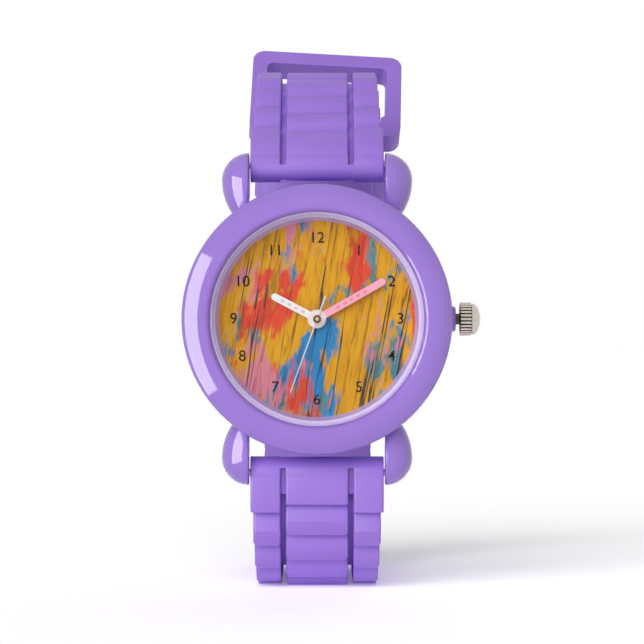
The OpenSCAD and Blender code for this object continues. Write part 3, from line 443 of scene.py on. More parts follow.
# Angle off the upright and distance from the middle, for the hours nought to three steps from twelve or six
number_places = ((0.0, 9.5), (31.5, 9.4), (63.5, 9.8), (90.0, 9.8))
number_parts = []
for hour in range(1, 13):
    from_twelve = min(hour, 12 - hour)
    lean, reach = number_places[min(from_twelve, 6 - from_twelve)]
    right = 0 if hour in (6, 12) else (1 if hour < 6 else -1)
    top = 1 if from_twelve <= 3 else -1
    turn = math.radians(lean)
    bpy.ops.object.select_all(action="DESELECT")
    bpy.ops.object.text_add()
    number = bpy.context.object
    number.data.body = str(hour)
    number.data.size = number_size * mm
    number.data.offset = number_bold * mm
    number.data.align_x, number.data.align_y = "CENTER", "CENTER"
    number.data.resolution_u = number_curve
    bpy.ops.object.convert(target="MESH")
    number.rotation_euler = (math.pi / 2, 0, 0)
    number.location = on_dial(
        right * reach * math.sin(turn), dial_seat_u - print_lift, top * reach * math.cos(turn)
    )
    take(number)
    bpy.ops.object.transform_apply(location=True, rotation=True, scale=True)
    number_parts.append(number)
numbers = joined("dial_numbers", *number_parts)
black_ink, tree = new_material("black_dial_ink")
place = add_node(tree, "TexCoord").outputs["Object"]
speck = add_node(tree, "TexNoise", inputs={"Vector": place, "Scale": 1 / (ink_speck_mm * mm), "Detail": 2.0})
soot = add_node(tree, "MixRGB", inputs={
    "Fac": speck.outputs["Fac"], "Color1": linear(ink_black), "Color2": linear(ink_worn),
})
ink = add_node(tree, "BsdfPrincipled", inputs={
    "Base Color": soot.outputs["Color"], "Roughness": 0.5, "IOR": 1.5, "Specular IOR Level": 0.1,
})
add_node(tree, "OutputMaterial", inputs={"Surface": ink.outputs["BSDF"]})
give(numbers, black_ink)
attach(numbers, "case")

# Hands: stamped strips, enamelled white for the hours and pink for the minutes, pressed on their pipes.
# The enamel is smooth with a soft gloss, and nearly white round the hub. Small dashes are printed on it.
# Each: light and dark enamel, print, heading in degrees, depth of the front, dash starts in mm, body, slot
hand_looks = (
    ("hour_hand", "#FBF8F5", "#F3EFEC", "#E88F86", 297.6, 3.75, (1.6, 2.5, 3.4, 4.3), "hour", "hand_white"),
    (
        "minute_hand", "#FFB4C5", "#FDA9BC", "#EE4F78", 60.35, 3.3, (2.6, 3.5, 4.4, 5.3, 6.2), "minute",
        "hand_pink",
    ),
)
dash_l, dash_w, dash_lift, dash_corner = 0.5, 0.34, 0.012, 0.1
hub_white, hub_white_r, hub_fade = "#F4E8EA", 1.0, 0.1
enamel_speck_mm, print_speck_mm = 0.6, 0.3


def copied(piece):
    """A copy of a piece, with its own mesh."""
    made = piece.copy()
    made.data = piece.data.copy()
    bpy.context.scene.collection.objects.link(made)
    return made


bpy.ops.object.select_all(action="DESELECT")
bpy.ops.mesh.primitive_cube_add(size=1, scale=(dash_w * mm, dash_lift * mm, dash_l * mm))
dash = bpy.context.object
bpy.ops.object.transform_apply(location=True, rotation=True, scale=True)
pick(dash, "EDGE", lambda corners: abs(corners[0].y - corners[1].y) > touching)
bpy.ops.mesh.bevel(offset=dash_corner * mm, segments=3, affect="EDGES")
done(dash)
for name, light, dark, print_colour, heading, front_u, starts, body, slot_name in hand_looks:
    enamel, tree = new_material(name + "_enamel")
    place = add_node(tree, "TexCoord").outputs["Object"]
    speck = add_node(tree, "TexNoise", inputs={
        "Vector": place, "Scale": 1 / (enamel_speck_mm * mm), "Detail": 2.0,
    })
    coat = add_node(tree, "MixRGB", inputs={
        "Fac": speck.outputs["Fac"], "Color1": linear(light), "Color2": linear(dark),
    })
    centred = add_node(tree, "Mapping", inputs={
        "Vector": place, "Location": (-dial_x, 0.0, -dial_z), "Scale": (1.0, 0.0, 1.0),
    })
    out = add_node(tree, "VectorMath", {"operation": "LENGTH"}, {0: centred.outputs["Vector"]})
    blade = add_node(tree, "MapRange", inputs={
        "Value": out.outputs["Value"],
        "From Min": hub_white_r * mm, "From Max": (hub_white_r + hub_fade) * mm,
    })
    coat = add_node(tree, "MixRGB", inputs={
        "Fac": blade.outputs["Result"], "Color1": linear(hub_white), "Color2": coat.outputs["Color"],
    })
    shell = add_node(tree, "BsdfPrincipled", inputs={
        "Base Color": coat.outputs["Color"], "Roughness": 0.3, "IOR": 1.5, "Specular IOR Level": 0.25,
    })
    add_node(tree, "OutputMaterial", inputs={"Surface": shell.outputs["BSDF"]})
    give(frame["nodes"][name], enamel)
    hand_turn = Matrix.Translation(on_dial(0, front_u, 0)) @ Matrix.Rotation(math.radians(heading), 4, "Y")
    dashes = []
    for start in starts:
        mark = copied(dash)
        mark.data.transform(hand_turn @ Matrix.Translation((0, 0, (start + dash_l / 2) * mm)))
        dashes.append(mark)
    print_marks = joined(name + "_marks", *dashes)
    hand_ink, tree = new_material(name + "_print")
    place = add_node(tree, "TexCoord").outputs["Object"]
    speck = add_node(tree, "TexNoise", inputs={
        "Vector": place, "Scale": 1 / (print_speck_mm * mm), "Detail": 2.0,
    })
    coat = add_node(tree, "MixRGB", inputs={
        "Fac": speck.outputs["Fac"], "Color1": linear(print_colour), "Color2": linear(dark),
    })
    shell = add_node(tree, "BsdfPrincipled", inputs={
        "Base Color": coat.outputs["Color"], "Roughness": 0.45, "IOR": 1.5,
    })
    add_node(tree, "OutputMaterial", inputs={"Surface": shell.outputs["BSDF"]})
    give(print_marks, hand_ink)
    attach(print_marks, body)
bpy.data.objects.remove(dash)

# Second hand: a fine needle, stamped from sheet steel, with a turned collet.
# The collet is pressed on the arbor, whose end shows in its middle.
needle_heading, needle_u, needle_t, needle_l, needle_tail_l = 200, 2.85, 0.16, 9.15, 2.9
needle_hub_w, needle_tip_w, needle_edge = 0.16, 0.1, 0.03
collet_r, collet_bore_r, collet_edge, collet_steps, needle_smooth = 0.46, 0.3, 0.04, 40, 30
collet_front_u, collet_floor_u, collet_back_u = 2.66, 2.92, 3.03
arbor_r, arbor_front_u, arbor_edge = 0.16, 2.74, 0.03
bpy.ops.object.select_all(action="DESELECT")
bpy.ops.mesh.primitive_cube_add(size=1)
needle = bpy.context.object
for vertex in needle.data.vertices:
    tip = vertex.co.z > 0
    vertex.co.x *= (needle_tip_w if tip else needle_hub_w) * mm
    vertex.co.y *= needle_t * mm
    vertex.co.z = (needle_l if tip else -needle_tail_l) * mm
pick(needle, "EDGE", lambda corners: abs(corners[0].z - corners[1].z) > needle_l * mm)
bpy.ops.mesh.bevel(offset=needle_edge * mm, segments=2, affect="EDGES")
done(needle)
needle.data.transform(
    Matrix.Translation(on_dial(0, needle_u + needle_t / 2, 0))
    @ Matrix.Rotation(math.radians(needle_heading), 4, "Y")
)
collet_line = [
    (0, arbor_front_u), (arbor_r - arbor_edge, arbor_front_u), (arbor_r, arbor_front_u + arbor_edge),
    (arbor_r, collet_floor_u), (collet_bore_r, collet_floor_u), (collet_bore_r, collet_front_u + collet_edge),
    (collet_bore_r + collet_edge, collet_front_u), (collet_r - collet_edge, collet_front_u),
    (collet_r, collet_front_u + collet_edge), (collet_r, collet_back_u), (0, collet_back_u),
]
collet_points = [on_dial(r, u, 0) for r, u in collet_line]
collet = spun("collet", collet_points, on_dial(0, 0, 0), (0, 1, 0), collet_steps)
second_needle = done(joined("second_needle", needle, collet), needle_smooth)
# Lacquered steel: pale and satin on the blade and darker on the turned collet; the groove round the arbor is
# darkened with painted shade.
ramp_r, blade_start_r = 1.0, 0.5
arbor_end, arbor_groove_shade, collet_face, blade_pale = "#C9BDB6", "#362C28", "#5E524D", "#EAE1DD"
needle_metal, tree = new_material("stamped_needle_steel")
place = add_node(tree, "TexCoord").outputs["Object"]
centred = add_node(tree, "Mapping", inputs={
    "Vector": place, "Location": (-dial_x, 0.0, -dial_z), "Scale": (1.0, 0.0, 1.0),
})
out = add_node(tree, "VectorMath", {"operation": "LENGTH"}, {0: centred.outputs["Vector"]})
share = add_node(tree, "MapRange", inputs={"Value": out.outputs["Value"], "From Max": ramp_r * mm})
rings = add_node(tree, "ValToRGB", inputs={"Fac": share.outputs["Result"]})
rings.color_ramp.interpolation = "CONSTANT"
stops = rings.color_ramp.elements
stops[0].position, stops[0].color = 0.0, linear(arbor_end)
stops[1].position, stops[1].color = blade_start_r / ramp_r, linear(blade_pale)
# The dark stop between arbor and collet bore is painted shade in the groove.
for radius, colour in ((arbor_r, arbor_groove_shade), (collet_bore_r, collet_face)):
    stops.new(radius / ramp_r).color = linear(colour)
lapped = add_node(tree, "BsdfPrincipled", inputs={
    "Base Color": rings.outputs["Color"], "Roughness": 0.35, "IOR": 1.5, "Specular IOR Level": 0.3,
})
add_node(tree, "OutputMaterial", inputs={"Surface": lapped.outputs["BSDF"]})
give(second_needle, needle_metal)
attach(second_needle, "second")
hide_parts("second_hand")

# Crown: a turned brass knob, nickel-plated, with straight knurling and a domed end.
# It is screwed on the stem, and stands pulled out from the collar.
crown_low, crown_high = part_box("crown")
crown_x, crown_y, crown_z = crown_low.x, (crown_low.y + crown_high.y) / 2, (crown_low.z + crown_high.z) / 2
crown_axis = Vector((crown_x, crown_y, crown_z))
knurl_l, knurl_r, knurl_depth, ridges = 1.45, 1.97, 0.2, 28
ridge_share, ridge_end, ridge_round = 0.64, 0.06, 0.07
foot_round, foot_bend, knurl_lip = 0.2, 0.06, 0.03
dome_h, dome_r, dome_gap, dome_neck, dome_steps = 1.05, 1.86, 0.07, 0.15, 12
knob_steps, crown_smooth = 56, 35
root_r = knurl_r - knurl_depth
knob_line = [
    (0, 0), (root_r - foot_round, 0), (root_r - foot_bend, foot_bend), (root_r, foot_round),
    (root_r, knurl_l - knurl_lip), (dome_r - dome_neck, knurl_l), (dome_r - dome_neck, knurl_l + dome_gap),
]
dome_turns = [math.pi / 2 * i / dome_steps for i in range(dome_steps)]
knob_line += [
    (dome_r * math.cos(turn), knurl_l + dome_gap + (dome_h - dome_gap) * math.sin(turn))
    for turn in dome_turns
]
knob_line.append((0, knurl_l + dome_h))
knob_points = [crown_axis + Vector((x * mm, 0, r * mm)) for r, x in knob_line]
knob = spun("knob", knob_points, crown_axis, (1, 0, 0), knob_steps)
ridge_w = ridge_share * 2 * math.pi * knurl_r / ridges
bpy.ops.object.select_all(action="DESELECT")
bpy.ops.mesh.primitive_cube_add(
    size=1, scale=((knurl_l - 2 * ridge_end) * mm, ridge_w * mm, 2 * knurl_depth * mm)
)
ridge = bpy.context.object
bpy.ops.object.transform_apply(location=True, rotation=True, scale=True)
pick(ridge, "EDGE", lambda corners: all(point.z > 0 for point in corners))
bpy.ops.mesh.bevel(offset=ridge_round * mm, segments=3, affect="EDGES")
done(ridge)
ridge.data.transform(Matrix.Translation((0, 0, root_r * mm)))
knurl_middle = Matrix.Translation(crown_axis + Vector((knurl_l / 2 * mm, 0, 0)))
ridge_parts = []
for step in range(ridges):
    part = copied(ridge)
    part.data.transform(knurl_middle @ Matrix.Rotation(2 * math.pi * step / ridges, 4, "X"))
    ridge_parts.append(part)
bpy.data.objects.remove(ridge)
crown_knob = done(joined("crown_knob", knob, *ridge_parts), crown_smooth)
# Polished nickel: a warm grey mirror. Between the ridges of the knurling the colour is darkened towards the
# root: painted shade.
nickel_light, nickel_dark, nickel_groove_shade, nickel_mark_mm = "#D6CEC6", "#B8ADA3", "#54473F", 0.3
groove_shade_edge, knurl_margin = 0.04, 0.02
nickels = []
for name, groove_shaded in (("polished_nickel", False), ("knurled_nickel", True)):
    nickel, tree = new_material(name)
    place = add_node(tree, "TexCoord").outputs["Object"]
    mark = add_node(tree, "TexNoise", inputs={
        "Vector": place, "Scale": 1 / (nickel_mark_mm * mm), "Detail": 3.0,
    })
    tone = add_node(tree, "MixRGB", inputs={
        "Fac": mark.outputs["Fac"], "Color1": linear(nickel_light), "Color2": linear(nickel_dark),
    })
    rub = add_node(tree, "MapRange", inputs={"Value": mark.outputs["Fac"], "To Min": 0.12, "To Max": 0.24})
    # Painted shade: the knurl is darker towards its root radius, between the ridges.
    if groove_shaded:
        centred = add_node(tree, "Mapping", inputs={
            "Vector": place, "Location": (0.0, -crown_y, -crown_z), "Scale": (0.0, 1.0, 1.0),
        })
        out = add_node(tree, "VectorMath", {"operation": "LENGTH"}, {0: centred.outputs["Vector"]})
        unshaded = add_node(tree, "MapRange", inputs={
            "Value": out.outputs["Value"],
            "From Min": (root_r + groove_shade_edge) * mm, "From Max": (knurl_r - groove_shade_edge) * mm,
        })
        tone = add_node(tree, "MixRGB", inputs={
            "Fac": unshaded.outputs["Result"], "Color1": linear(nickel_groove_shade), "Color2": tone.outputs["Color"],
        })
    plate = add_node(tree, "BsdfPrincipled", inputs={
        "Base Color": tone.outputs["Color"], "Metallic": 1.0, "Roughness": rub.outputs["Result"],
    })
    add_node(tree, "OutputMaterial", inputs={"Surface": plate.outputs["BSDF"]})
    nickels.append(nickel)
give(crown_knob, *nickels)
for face in crown_knob.data.polygons:
    face.material_index = 1 if face.center.x < crown_x + (knurl_l + knurl_margin) * mm else 0
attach(crown_knob, "crown")
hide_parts("crown")

# Bare metals: the steel, brass and copper pieces of movement, back, stem and buckle, as they were cut.
# The marks of their making run one way and break a reflection into streaks, drawn coarse enough to show.
# Each: light and dark tone, least and most roughness, width of a mark in mm, pieces
metals = (
    ("oiled_steel", "#5E534D", "#463C37", 0.22, 0.36, 0.3, ("stem",)),
    ("turned_steel", "#C2C2C6", "#A6A6AB", 0.22, 0.36, 0.3, ("spring_bars", "buckle_pin", "prong")),
    ("stamped_steel", "#A8A8AD", "#8C8C92", 0.3, 0.45, 0.4, ("rotor", "stator", "setting_lever", "yoke")),
    ("drawn_steel", "#CDCDD1", "#B4B4B9", 0.2, 0.34, 0.5, ("quartz_can", "battery")),
    ("brushed_back_steel", "#C6C6CA", "#ABABB0", 0.24, 0.4, 0.35, ("caseback",)),
    (
        "cut_brass", "#D8B45C", "#B98F3C", 0.22, 0.36, 0.3,
        ("hour_wheel", "cannon_pinion", "second_wheel", "battery_strap"),
    ),
    ("enamelled_copper_wire", "#B8683A", "#8E4A26", 0.3, 0.5, 0.12, ("coil",)),
)
mark_stretch, mark_depth_mm = 0.15, 0.05
for name, light, dark, least, most, mark_mm, nodes in metals:
    metal, tree = new_material(name)
    place = add_node(tree, "TexCoord").outputs["Object"]
    brushed = add_node(tree, "Mapping", inputs={"Vector": place, "Scale": (mark_stretch, 1.0, 1.0)})
    mark = add_node(tree, "TexNoise", inputs={
        "Vector": brushed.outputs["Vector"], "Scale": 1 / (mark_mm * mm), "Detail": 4.0,
    })
    tone = add_node(tree, "MixRGB", inputs={
        "Fac": mark.outputs["Fac"], "Color1": linear(light), "Color2": linear(dark),
    })
    rub = add_node(tree, "MapRange", inputs={"Value": mark.outputs["Fac"], "To Min": least, "To Max": most})
    score = add_node(tree, "Bump", inputs={
        "Height": mark.outputs["Fac"], "Strength": 0.06, "Distance": mark_depth_mm * mm,
    })
    worked = add_node(tree, "BsdfPrincipled", inputs={
        "Base Color": tone.outputs["Color"], "Metallic": 1.0, "Roughness": rub.outputs["Result"],
        "Normal": score.outputs["Normal"],
    })
    add_node(tree, "OutputMaterial", inputs={"Surface": worked.outputs["BSDF"]})
    for node in nodes:
        give(frame["nodes"][node], metal)

# Inner plastics: acetal wheels, the ivory parts of the movement, the lacquered board and the seals.
# They are moulded or cast and satin, with faint clouds from the flow. The rubber seals are the dullest.
# Each: light and dark tone, least roughness, size of a cloud in mm, pieces
plastics = (
    (
        "moulded_acetal", "#E8E2CF", "#D9D2BC", 0.35, 1.0,
        ("minute_wheel", "setting_wheel", "intermediate_wheel", "clutch_wheel"),
    ),
    ("movement_plastic", "#E9E7E0", "#DAD7CE", 0.4, 2.0, ("main_plate", "train_bridge", "movement_ring")),
    ("solder_mask", "#1F6B3E", "#185531", 0.35, 0.6, ("circuit_board",)),
    ("seal_nylon", "#E2D6F2", "#D8CAEC", 0.4, 0.5, ("lens_gasket",)),
    ("seal_rubber", "#242426", "#1A1A1C", 0.6, 0.5, ("caseback_gasket", "crown_gasket")),
)
rough_range = 0.12
for name, light, dark, rough, cloud_mm, nodes in plastics:
    resin, tree = new_material(name)
    place = add_node(tree, "TexCoord").outputs["Object"]
    cloud = add_node(tree, "TexNoise", inputs={"Vector": place, "Scale": 1 / (cloud_mm * mm), "Detail": 3.0})
    tone = add_node(tree, "MixRGB", inputs={
        "Fac": cloud.outputs["Fac"], "Color1": linear(light), "Color2": linear(dark),
    })
    rub = add_node(tree, "MapRange", inputs={
        "Value": cloud.outputs["Fac"], "To Min": rough, "To Max": rough + rough_range,
    })
    moulded = add_node(tree, "BsdfPrincipled", inputs={
        "Base Color": tone.outputs["Color"], "Roughness": rub.outputs["Result"], "IOR": 1.5,
    })
    add_node(tree, "OutputMaterial", inputs={"Surface": moulded.outputs["BSDF"]})
    for node in nodes:
        give(frame["nodes"][node], resin)

# Strap: two halves moulded flat in soft TPU, each a thin band that carries three columns of link-like bars.
# They are modelled flat, as they leave the mould, and then curled along the line that the watch stands in.
# In mm: lengths run along a half from its spring bar, heights go outwards from its neutral line.
bar_u, bar_reach = 6.0, 18.1
strap_w, strap_min_w, taper_l = 15.7, 14.0, 22.0
column_w, groove_w, pitch = 7.36, 0.62, 3.25
link_h, link_sink, link_fall, link_crest, link_edge, link_corner = 2.14, 1.45, 0.24, 0.7, 0.3, 0.25
band_in, plain_h, column_in, tail_inset = 1.1, 0.7, 1.05, 0.02
end_l, end_crown, end_fall, end_foot, end_corner = 3.5, 2.05, 0.15, (-1.75, 0.6), (-1.25, 1.45)
end_blur, end_blur_l = 0.3, 0.4
groove_start, groove_run, groove_foot, shallow_l, shallow_h = -0.8, 0.3, -0.5, 2.4, 1.0
barrel_r, barrel_edge, barrel_sides = 1.85, 0.2, 48
side_first, side_next = 0.25, 1.4
side_x = column_w / 2 + groove_w
side_first_l, side_next_l = end_l + side_first * pitch, end_l + side_next * pitch
sharp_edge, overlap, near_mm, strap_smooth = 0.02, 0.05, 0.01, 35
# Runs of the neutral line: length, then the turn over it in degrees; a bend's length is radius times turn
lower_runs = [
    (end_l, 0), (9.8 * math.radians(83), 83), (14.0, 0), (15.5 * math.radians(85), 85), (26.0, 27), (16.0, 0),
]
upper_runs = [
    (end_l, 16), (7.0, 1), (9.2 * math.radians(43), 43), (11.0 * math.radians(90), 90), (14.0, 24), (9.0, 0),
]


def curled(s, h, runs, heading):
    """Depth and height of a point at length s and height h; a heading of 0 runs down, and 90 backwards."""
    nothing = 1e-9
    u, w, a = bar_u, -bar_reach, math.radians(heading)
    for number, (length, turn) in enumerate(runs):
        step = s if s <= length or number == len(runs) - 1 else length
        bend = math.radians(turn) * step / length
        if abs(bend) < nothing:
            u, w = u + step * math.sin(a), w - step * math.cos(a)
        else:
            r = step / bend
            u, w = u + r * (math.cos(a) - math.cos(a + bend)), w - r * (math.sin(a + bend) - math.sin(a))
        a += bend
        s -= step
        if s <= nothing:
            break
    return u - h * math.cos(a), w - h * math.sin(a)


def block(name, x0, x1, s0, s1, h0, h1):
    """A flat block in mm: across the strap, along it and up from it."""
    bpy.ops.object.select_all(action="DESELECT")
    bpy.ops.mesh.primitive_cube_add(
        size=1, location=((x0 + x1) / 2, (s0 + s1) / 2, (h0 + h1) / 2), scale=(x1 - x0, s1 - s0, h1 - h0)
    )
    made = bpy.context.object
    made.name = made.data.name = name
    bpy.ops.object.transform_apply(location=True, rotation=True, scale=True)
    return made


def column(name, stations, foot):
    """A moulded column, flat, from stations of length, two edges, height and the rounding at either edge."""
    edge_shares = (0.0, 0.08, 0.29, 0.6, 1.0)
    middle, across = len(edge_shares), 2 * len(edge_shares)
    made = block(name, 0, across, 0, len(stations) - 1, 0, 1)
    for axis, cuts in ((1, len(stations) - 2), (0, across - 1)):
        if cuts:
            pick(made, "EDGE", lambda corners: abs(corners[0][axis] - corners[1][axis]) > 0.5)
            bpy.ops.mesh.subdivide(number_cuts=cuts)
            done(made)
    for vertex in made.data.vertices:
        step, upper = round(vertex.co.x), vertex.co.z > 0.5
        s, x0, x1, h, r0, r1 = stations[round(vertex.co.y)]
        x, sunk = (x0 + x1) / 2, 0
        if step != middle:
            share = edge_shares[min(step, across - step)]
            x = x0 + r0 * share if step < middle else x1 - r1 * share
            sunk = (r0 if step < middle else r1) * (1 - math.sqrt(1 - (1 - share) ** 2))
        vertex.co = (x, s, h - sunk if upper else foot)
    return made


def link_height(share):
    """Height of a bar at a share of its length: sunk under the bar before it, rounded at its far edge."""
    if share < link_crest:
        return link_h - link_sink * (1 - share / link_crest) ** 2
    return link_h - link_fall * ((share - link_crest) / (1 - link_crest)) ** 3


def half_w(s):
    """Half the strap's width at a length: it narrows evenly over the taper."""
    return (strap_w - (strap_w - strap_min_w) * min(1, max(0, s / taper_l))) / 2


def end_height(s, length):
    """Height of the end block, which slopes to a bevel beside the case: a mean of samples softens it."""
    samples = (-1, -0.5, 0, 0.5, 1)
    total = 0
    for sample in samples:
        at = max(end_foot[0], s + sample * end_blur * min(1, (s - end_foot[0]) / end_blur_l))
        bevel = min(1, (at - end_foot[0]) / (end_corner[0] - end_foot[0]))
        rise = min(1, max(0, (at - end_corner[0]) / (end_l / 2 - end_corner[0])))
        total += end_foot[1] + (end_corner[1] - end_foot[1]) * bevel
        total += (end_crown - end_corner[1]) * math.sin(math.pi / 2 * rise)
    return total / len(samples) - end_fall * max(0.0, 2 * s / length - 1) ** 3


def end_stations(length):
    """Lengths at which the end block is shaped, closer together at its bevel, groove ends and crease."""
    bevel_step, bevel_stations, groove_gap = 0.1, 9, 0.01
    near = [end_foot[0] + bevel_step * number for number in range(bevel_stations)]
    near += [groove_start + gap for gap in (-groove_gap, groove_gap, groove_run / 2, groove_run)]
    return near + [length * share for share in (0, 0.2, 0.4, 0.55, 0.7, 0.8, 0.88, 0.94, 0.98, 0.998)]


def link_columns(links_l, band_out):
    """The linked stretch of a strap half, flat: nose, barrel, band, centre column and staggered sides."""
    rows = int((links_l - side_next_l) / pitch) + 1
    row_shares = (0.002, 0.03, 0.08, 0.15, 0.24, 0.36, 0.52, 0.7, 0.82, 0.9, 0.955, 0.985, 0.998)
    parts = []
    for side in (-1, 0, 1):
        starts = [end_l + row * pitch for row in range(rows + 1)]
        if side:
            starts = [side_first_l] + [side_next_l + row * pitch for row in range(rows)]
        inner, outer = (side_x, strap_w / 2) if side else (-column_w / 2, column_w / 2)
        stations = []
        for s in end_stations(starts[0]):
            groove = sharp_edge + (link_edge - sharp_edge) * min(1, max(0, (s - groove_start) / groove_run))
            height = end_height(s, starts[0])
            stations.append((s, inner, outer, height, groove, link_edge if side else groove))
        for start, end in zip(starts, starts[1:]):
            edge = half_w(end) if side else outer
            for share in row_shares:
                left = max(0.0, link_corner - (end - start) * (1 - share))
                trim = link_corner - math.sqrt(link_corner ** 2 - left ** 2)
                s = start + share * (end - start)
                stations.append((s, inner + trim, edge - trim, link_height(share), link_edge, link_edge))
        if side < 0:
            stations = [(s, -x1, -x0, h, r1, r0) for s, x0, x1, h, r0, r1 in stations]
        parts.append(column("column", stations, -column_in if side else (band_out - band_in) / 2))
        if side:
            edges = sorted((side * (column_w / 2 - overlap), side * (side_x + overlap)))
            stations = [
                (s, *edges, shallow_h, sharp_edge, sharp_edge) for s in (groove_start - overlap, shallow_l)
            ]
            parts.append(column("groove_floor", stations, groove_foot))
    nose_tip, nose_lift, nose_share, nose_foot = (0.01 - barrel_r, -1.8), 0.005, 0.6, -0.1
    stations = []
    for s in [*nose_tip, *(s for s in end_stations(end_l) if s < groove_start)]:
        h = math.sqrt(barrel_r ** 2 - s ** 2)
        if s >= end_foot[0]:
            h = max(h, end_height(s, end_l))
        edge = min(link_edge, nose_share * h)
        stations.append((s, -strap_w / 2, strap_w / 2, h + nose_lift, edge, edge))
    parts.append(column("nose", stations, nose_foot))
    band_x, band_steps = side_x + 0.2, 80
    lengths = [links_l * step / band_steps for step in range(band_steps + 1)]
    stations = [(s, -band_x, band_x, band_out, sharp_edge, sharp_edge) for s in lengths]
    parts.append(column("band", stations, -band_in))
    for x0, x1, r in (
        (-strap_w / 2, -side_x, barrel_r), (-column_w / 2, column_w / 2, barrel_r),
        (side_x, strap_w / 2, barrel_r), (-side_x, side_x, shallow_h - overlap),
    ):
        bpy.ops.object.select_all(action="DESELECT")
        bpy.ops.mesh.primitive_cylinder_add(
            vertices=barrel_sides, radius=r, depth=x1 - x0, location=((x0 + x1) / 2, 0, 0),
            rotation=(0, math.pi / 2, 0),
        )
        barrel = bpy.context.object
        bpy.ops.object.transform_apply(location=True, rotation=True, scale=True)
        pick(barrel, "EDGE", lambda corners: abs(corners[0].x - corners[1].x) < near_mm)
        bpy.ops.mesh.bevel(offset=barrel_edge, segments=3, affect="EDGES")
        parts.append(done(barrel))
    return parts


def plain_tail(s0, s1, tip_round):
    """The plain stretch of a strap half, flat, with its rim rounded, and its end's corners too if asked."""
    rim_round, slice_l = 0.35, 0.8
    edge = strap_min_w / 2 - tail_inset
    made = block("tail", -edge, edge, s0, s1, tail_inset - band_in, plain_h)
    if tip_round:
        pick(made, "EDGE", lambda corners: (
            all(point.y > s1 - near_mm for point in corners) and abs(corners[0].z - corners[1].z) > near_mm
        ))
        bpy.ops.mesh.bevel(offset=tip_round, segments=16, affect="EDGES")
        done(made)
    pick(made, "EDGE", lambda corners: (
        abs(corners[0].z - corners[1].z) < near_mm and not all(point.y < s0 + near_mm for point in corners)
    ))
    bpy.ops.mesh.bevel(offset=rim_round, segments=3, affect="EDGES")
    done(made)
    for number in range(1, int((s1 - s0) / slice_l)):
        pick(made, "FACE", lambda corners: True)
        bpy.ops.mesh.bisect(plane_co=(0, s0 + number * slice_l, 0), plane_no=(0, 1, 0))
        done(made)
    return made


def curl(piece, runs, heading, up):
    """Bends a flat strap half along its runs, flattened where it stands; up is 1 above the case, -1 below."""
    for vertex in piece.data.vertices:
        x, s, h = vertex.co
        u, w = curled(s, h, runs, heading)
        vertex.co = on_dial(x, u, -up * w)
        vertex.co.z = max(vertex.co.z, 0.0)
    pick(piece, "FACE", lambda corners: True)
    bpy.ops.mesh.normals_make_consistent(inside=False)
    return done(piece, strap_smooth)


# Upper half: its plain end has the buckle holes and a half-round tip.
# The holes are punched while the half is still flat.
upper_heading, upper_band_out, upper_link_runs = 30, 0.8, 4
holes, hole_r, hole_first, hole_pitch, hole_sides, punch_l, tip_gap = 4, 0.9, 3.0, 5.0, 24, 6, 0.01
upper_l = sum(length for length, _ in upper_runs)
upper_links_l = sum(length for length, _ in upper_runs[:upper_link_runs])
tail = plain_tail(upper_links_l - pitch, upper_l, strap_min_w / 2 - tail_inset - tip_gap)
for number in range(holes):
    bpy.ops.object.select_all(action="DESELECT")
    bpy.ops.mesh.primitive_cylinder_add(
        vertices=hole_sides, radius=hole_r, depth=punch_l,
        location=(0, upper_links_l + hole_first + number * hole_pitch, 0),
    )
    cut_out(tail, bpy.context.object)
upper_flat = joined("upper_strap", *link_columns(upper_links_l, upper_band_out), tail)
upper_strap = curl(upper_flat, upper_runs, upper_heading, 1)

# Lower half: it stands on its flattened links, and its plain end forks round the buckle pin.
# That end leans a little to one side, as a soft strap does, so the buckle stands askew.
lower_heading, lower_band_out, buckle_lean = 7, -0.3, math.radians(3.3)
loop_r, pin_h, slot_w, slot_l, loop_sides, loop_edge = 1.5, -0.2, 2.5, 2.2, 40, 0.25
tail_lap, fork_lap = 0.8 * pitch, 0.1
lower_l = sum(length for length, _ in lower_runs)
lower_links_l = lower_l - lower_runs[-1][0]
tail = plain_tail(lower_links_l - tail_lap, lower_l - slot_l, 0)
forks = []
for side in (-1, 1):
    inner, outer = sorted((side * slot_w / 2, side * strap_min_w / 2))
    forks.append(block("fork", inner, outer, lower_l - slot_l - fork_lap, lower_l, -band_in, plain_h))
    bpy.ops.object.select_all(action="DESELECT")
    bpy.ops.mesh.primitive_cylinder_add(
        vertices=loop_sides, radius=loop_r, depth=outer - inner,
        location=((inner + outer) / 2, lower_l, pin_h), rotation=(0, math.pi / 2, 0),
    )
    loop = bpy.context.object
    bpy.ops.object.transform_apply(location=True, rotation=True, scale=True)
    pick(loop, "EDGE", lambda corners: abs(corners[0].x - corners[1].x) < near_mm)
    bpy.ops.mesh.bevel(offset=loop_edge, segments=3, affect="EDGES")
    forks.append(done(loop))
tail = joined("tail", tail, *forks)
for vertex in tail.data.vertices:
    x, along_tail = vertex.co.x, vertex.co.y - lower_links_l
    vertex.co.x = x * math.cos(buckle_lean) + along_tail * math.sin(buckle_lean)
    vertex.co.y = lower_links_l - x * math.sin(buckle_lean) + along_tail * math.cos(buckle_lean)
lower_flat = joined("lower_strap", *link_columns(lower_links_l, lower_band_out), tail)
lower_strap = curl(lower_flat, lower_runs, lower_heading, -1)

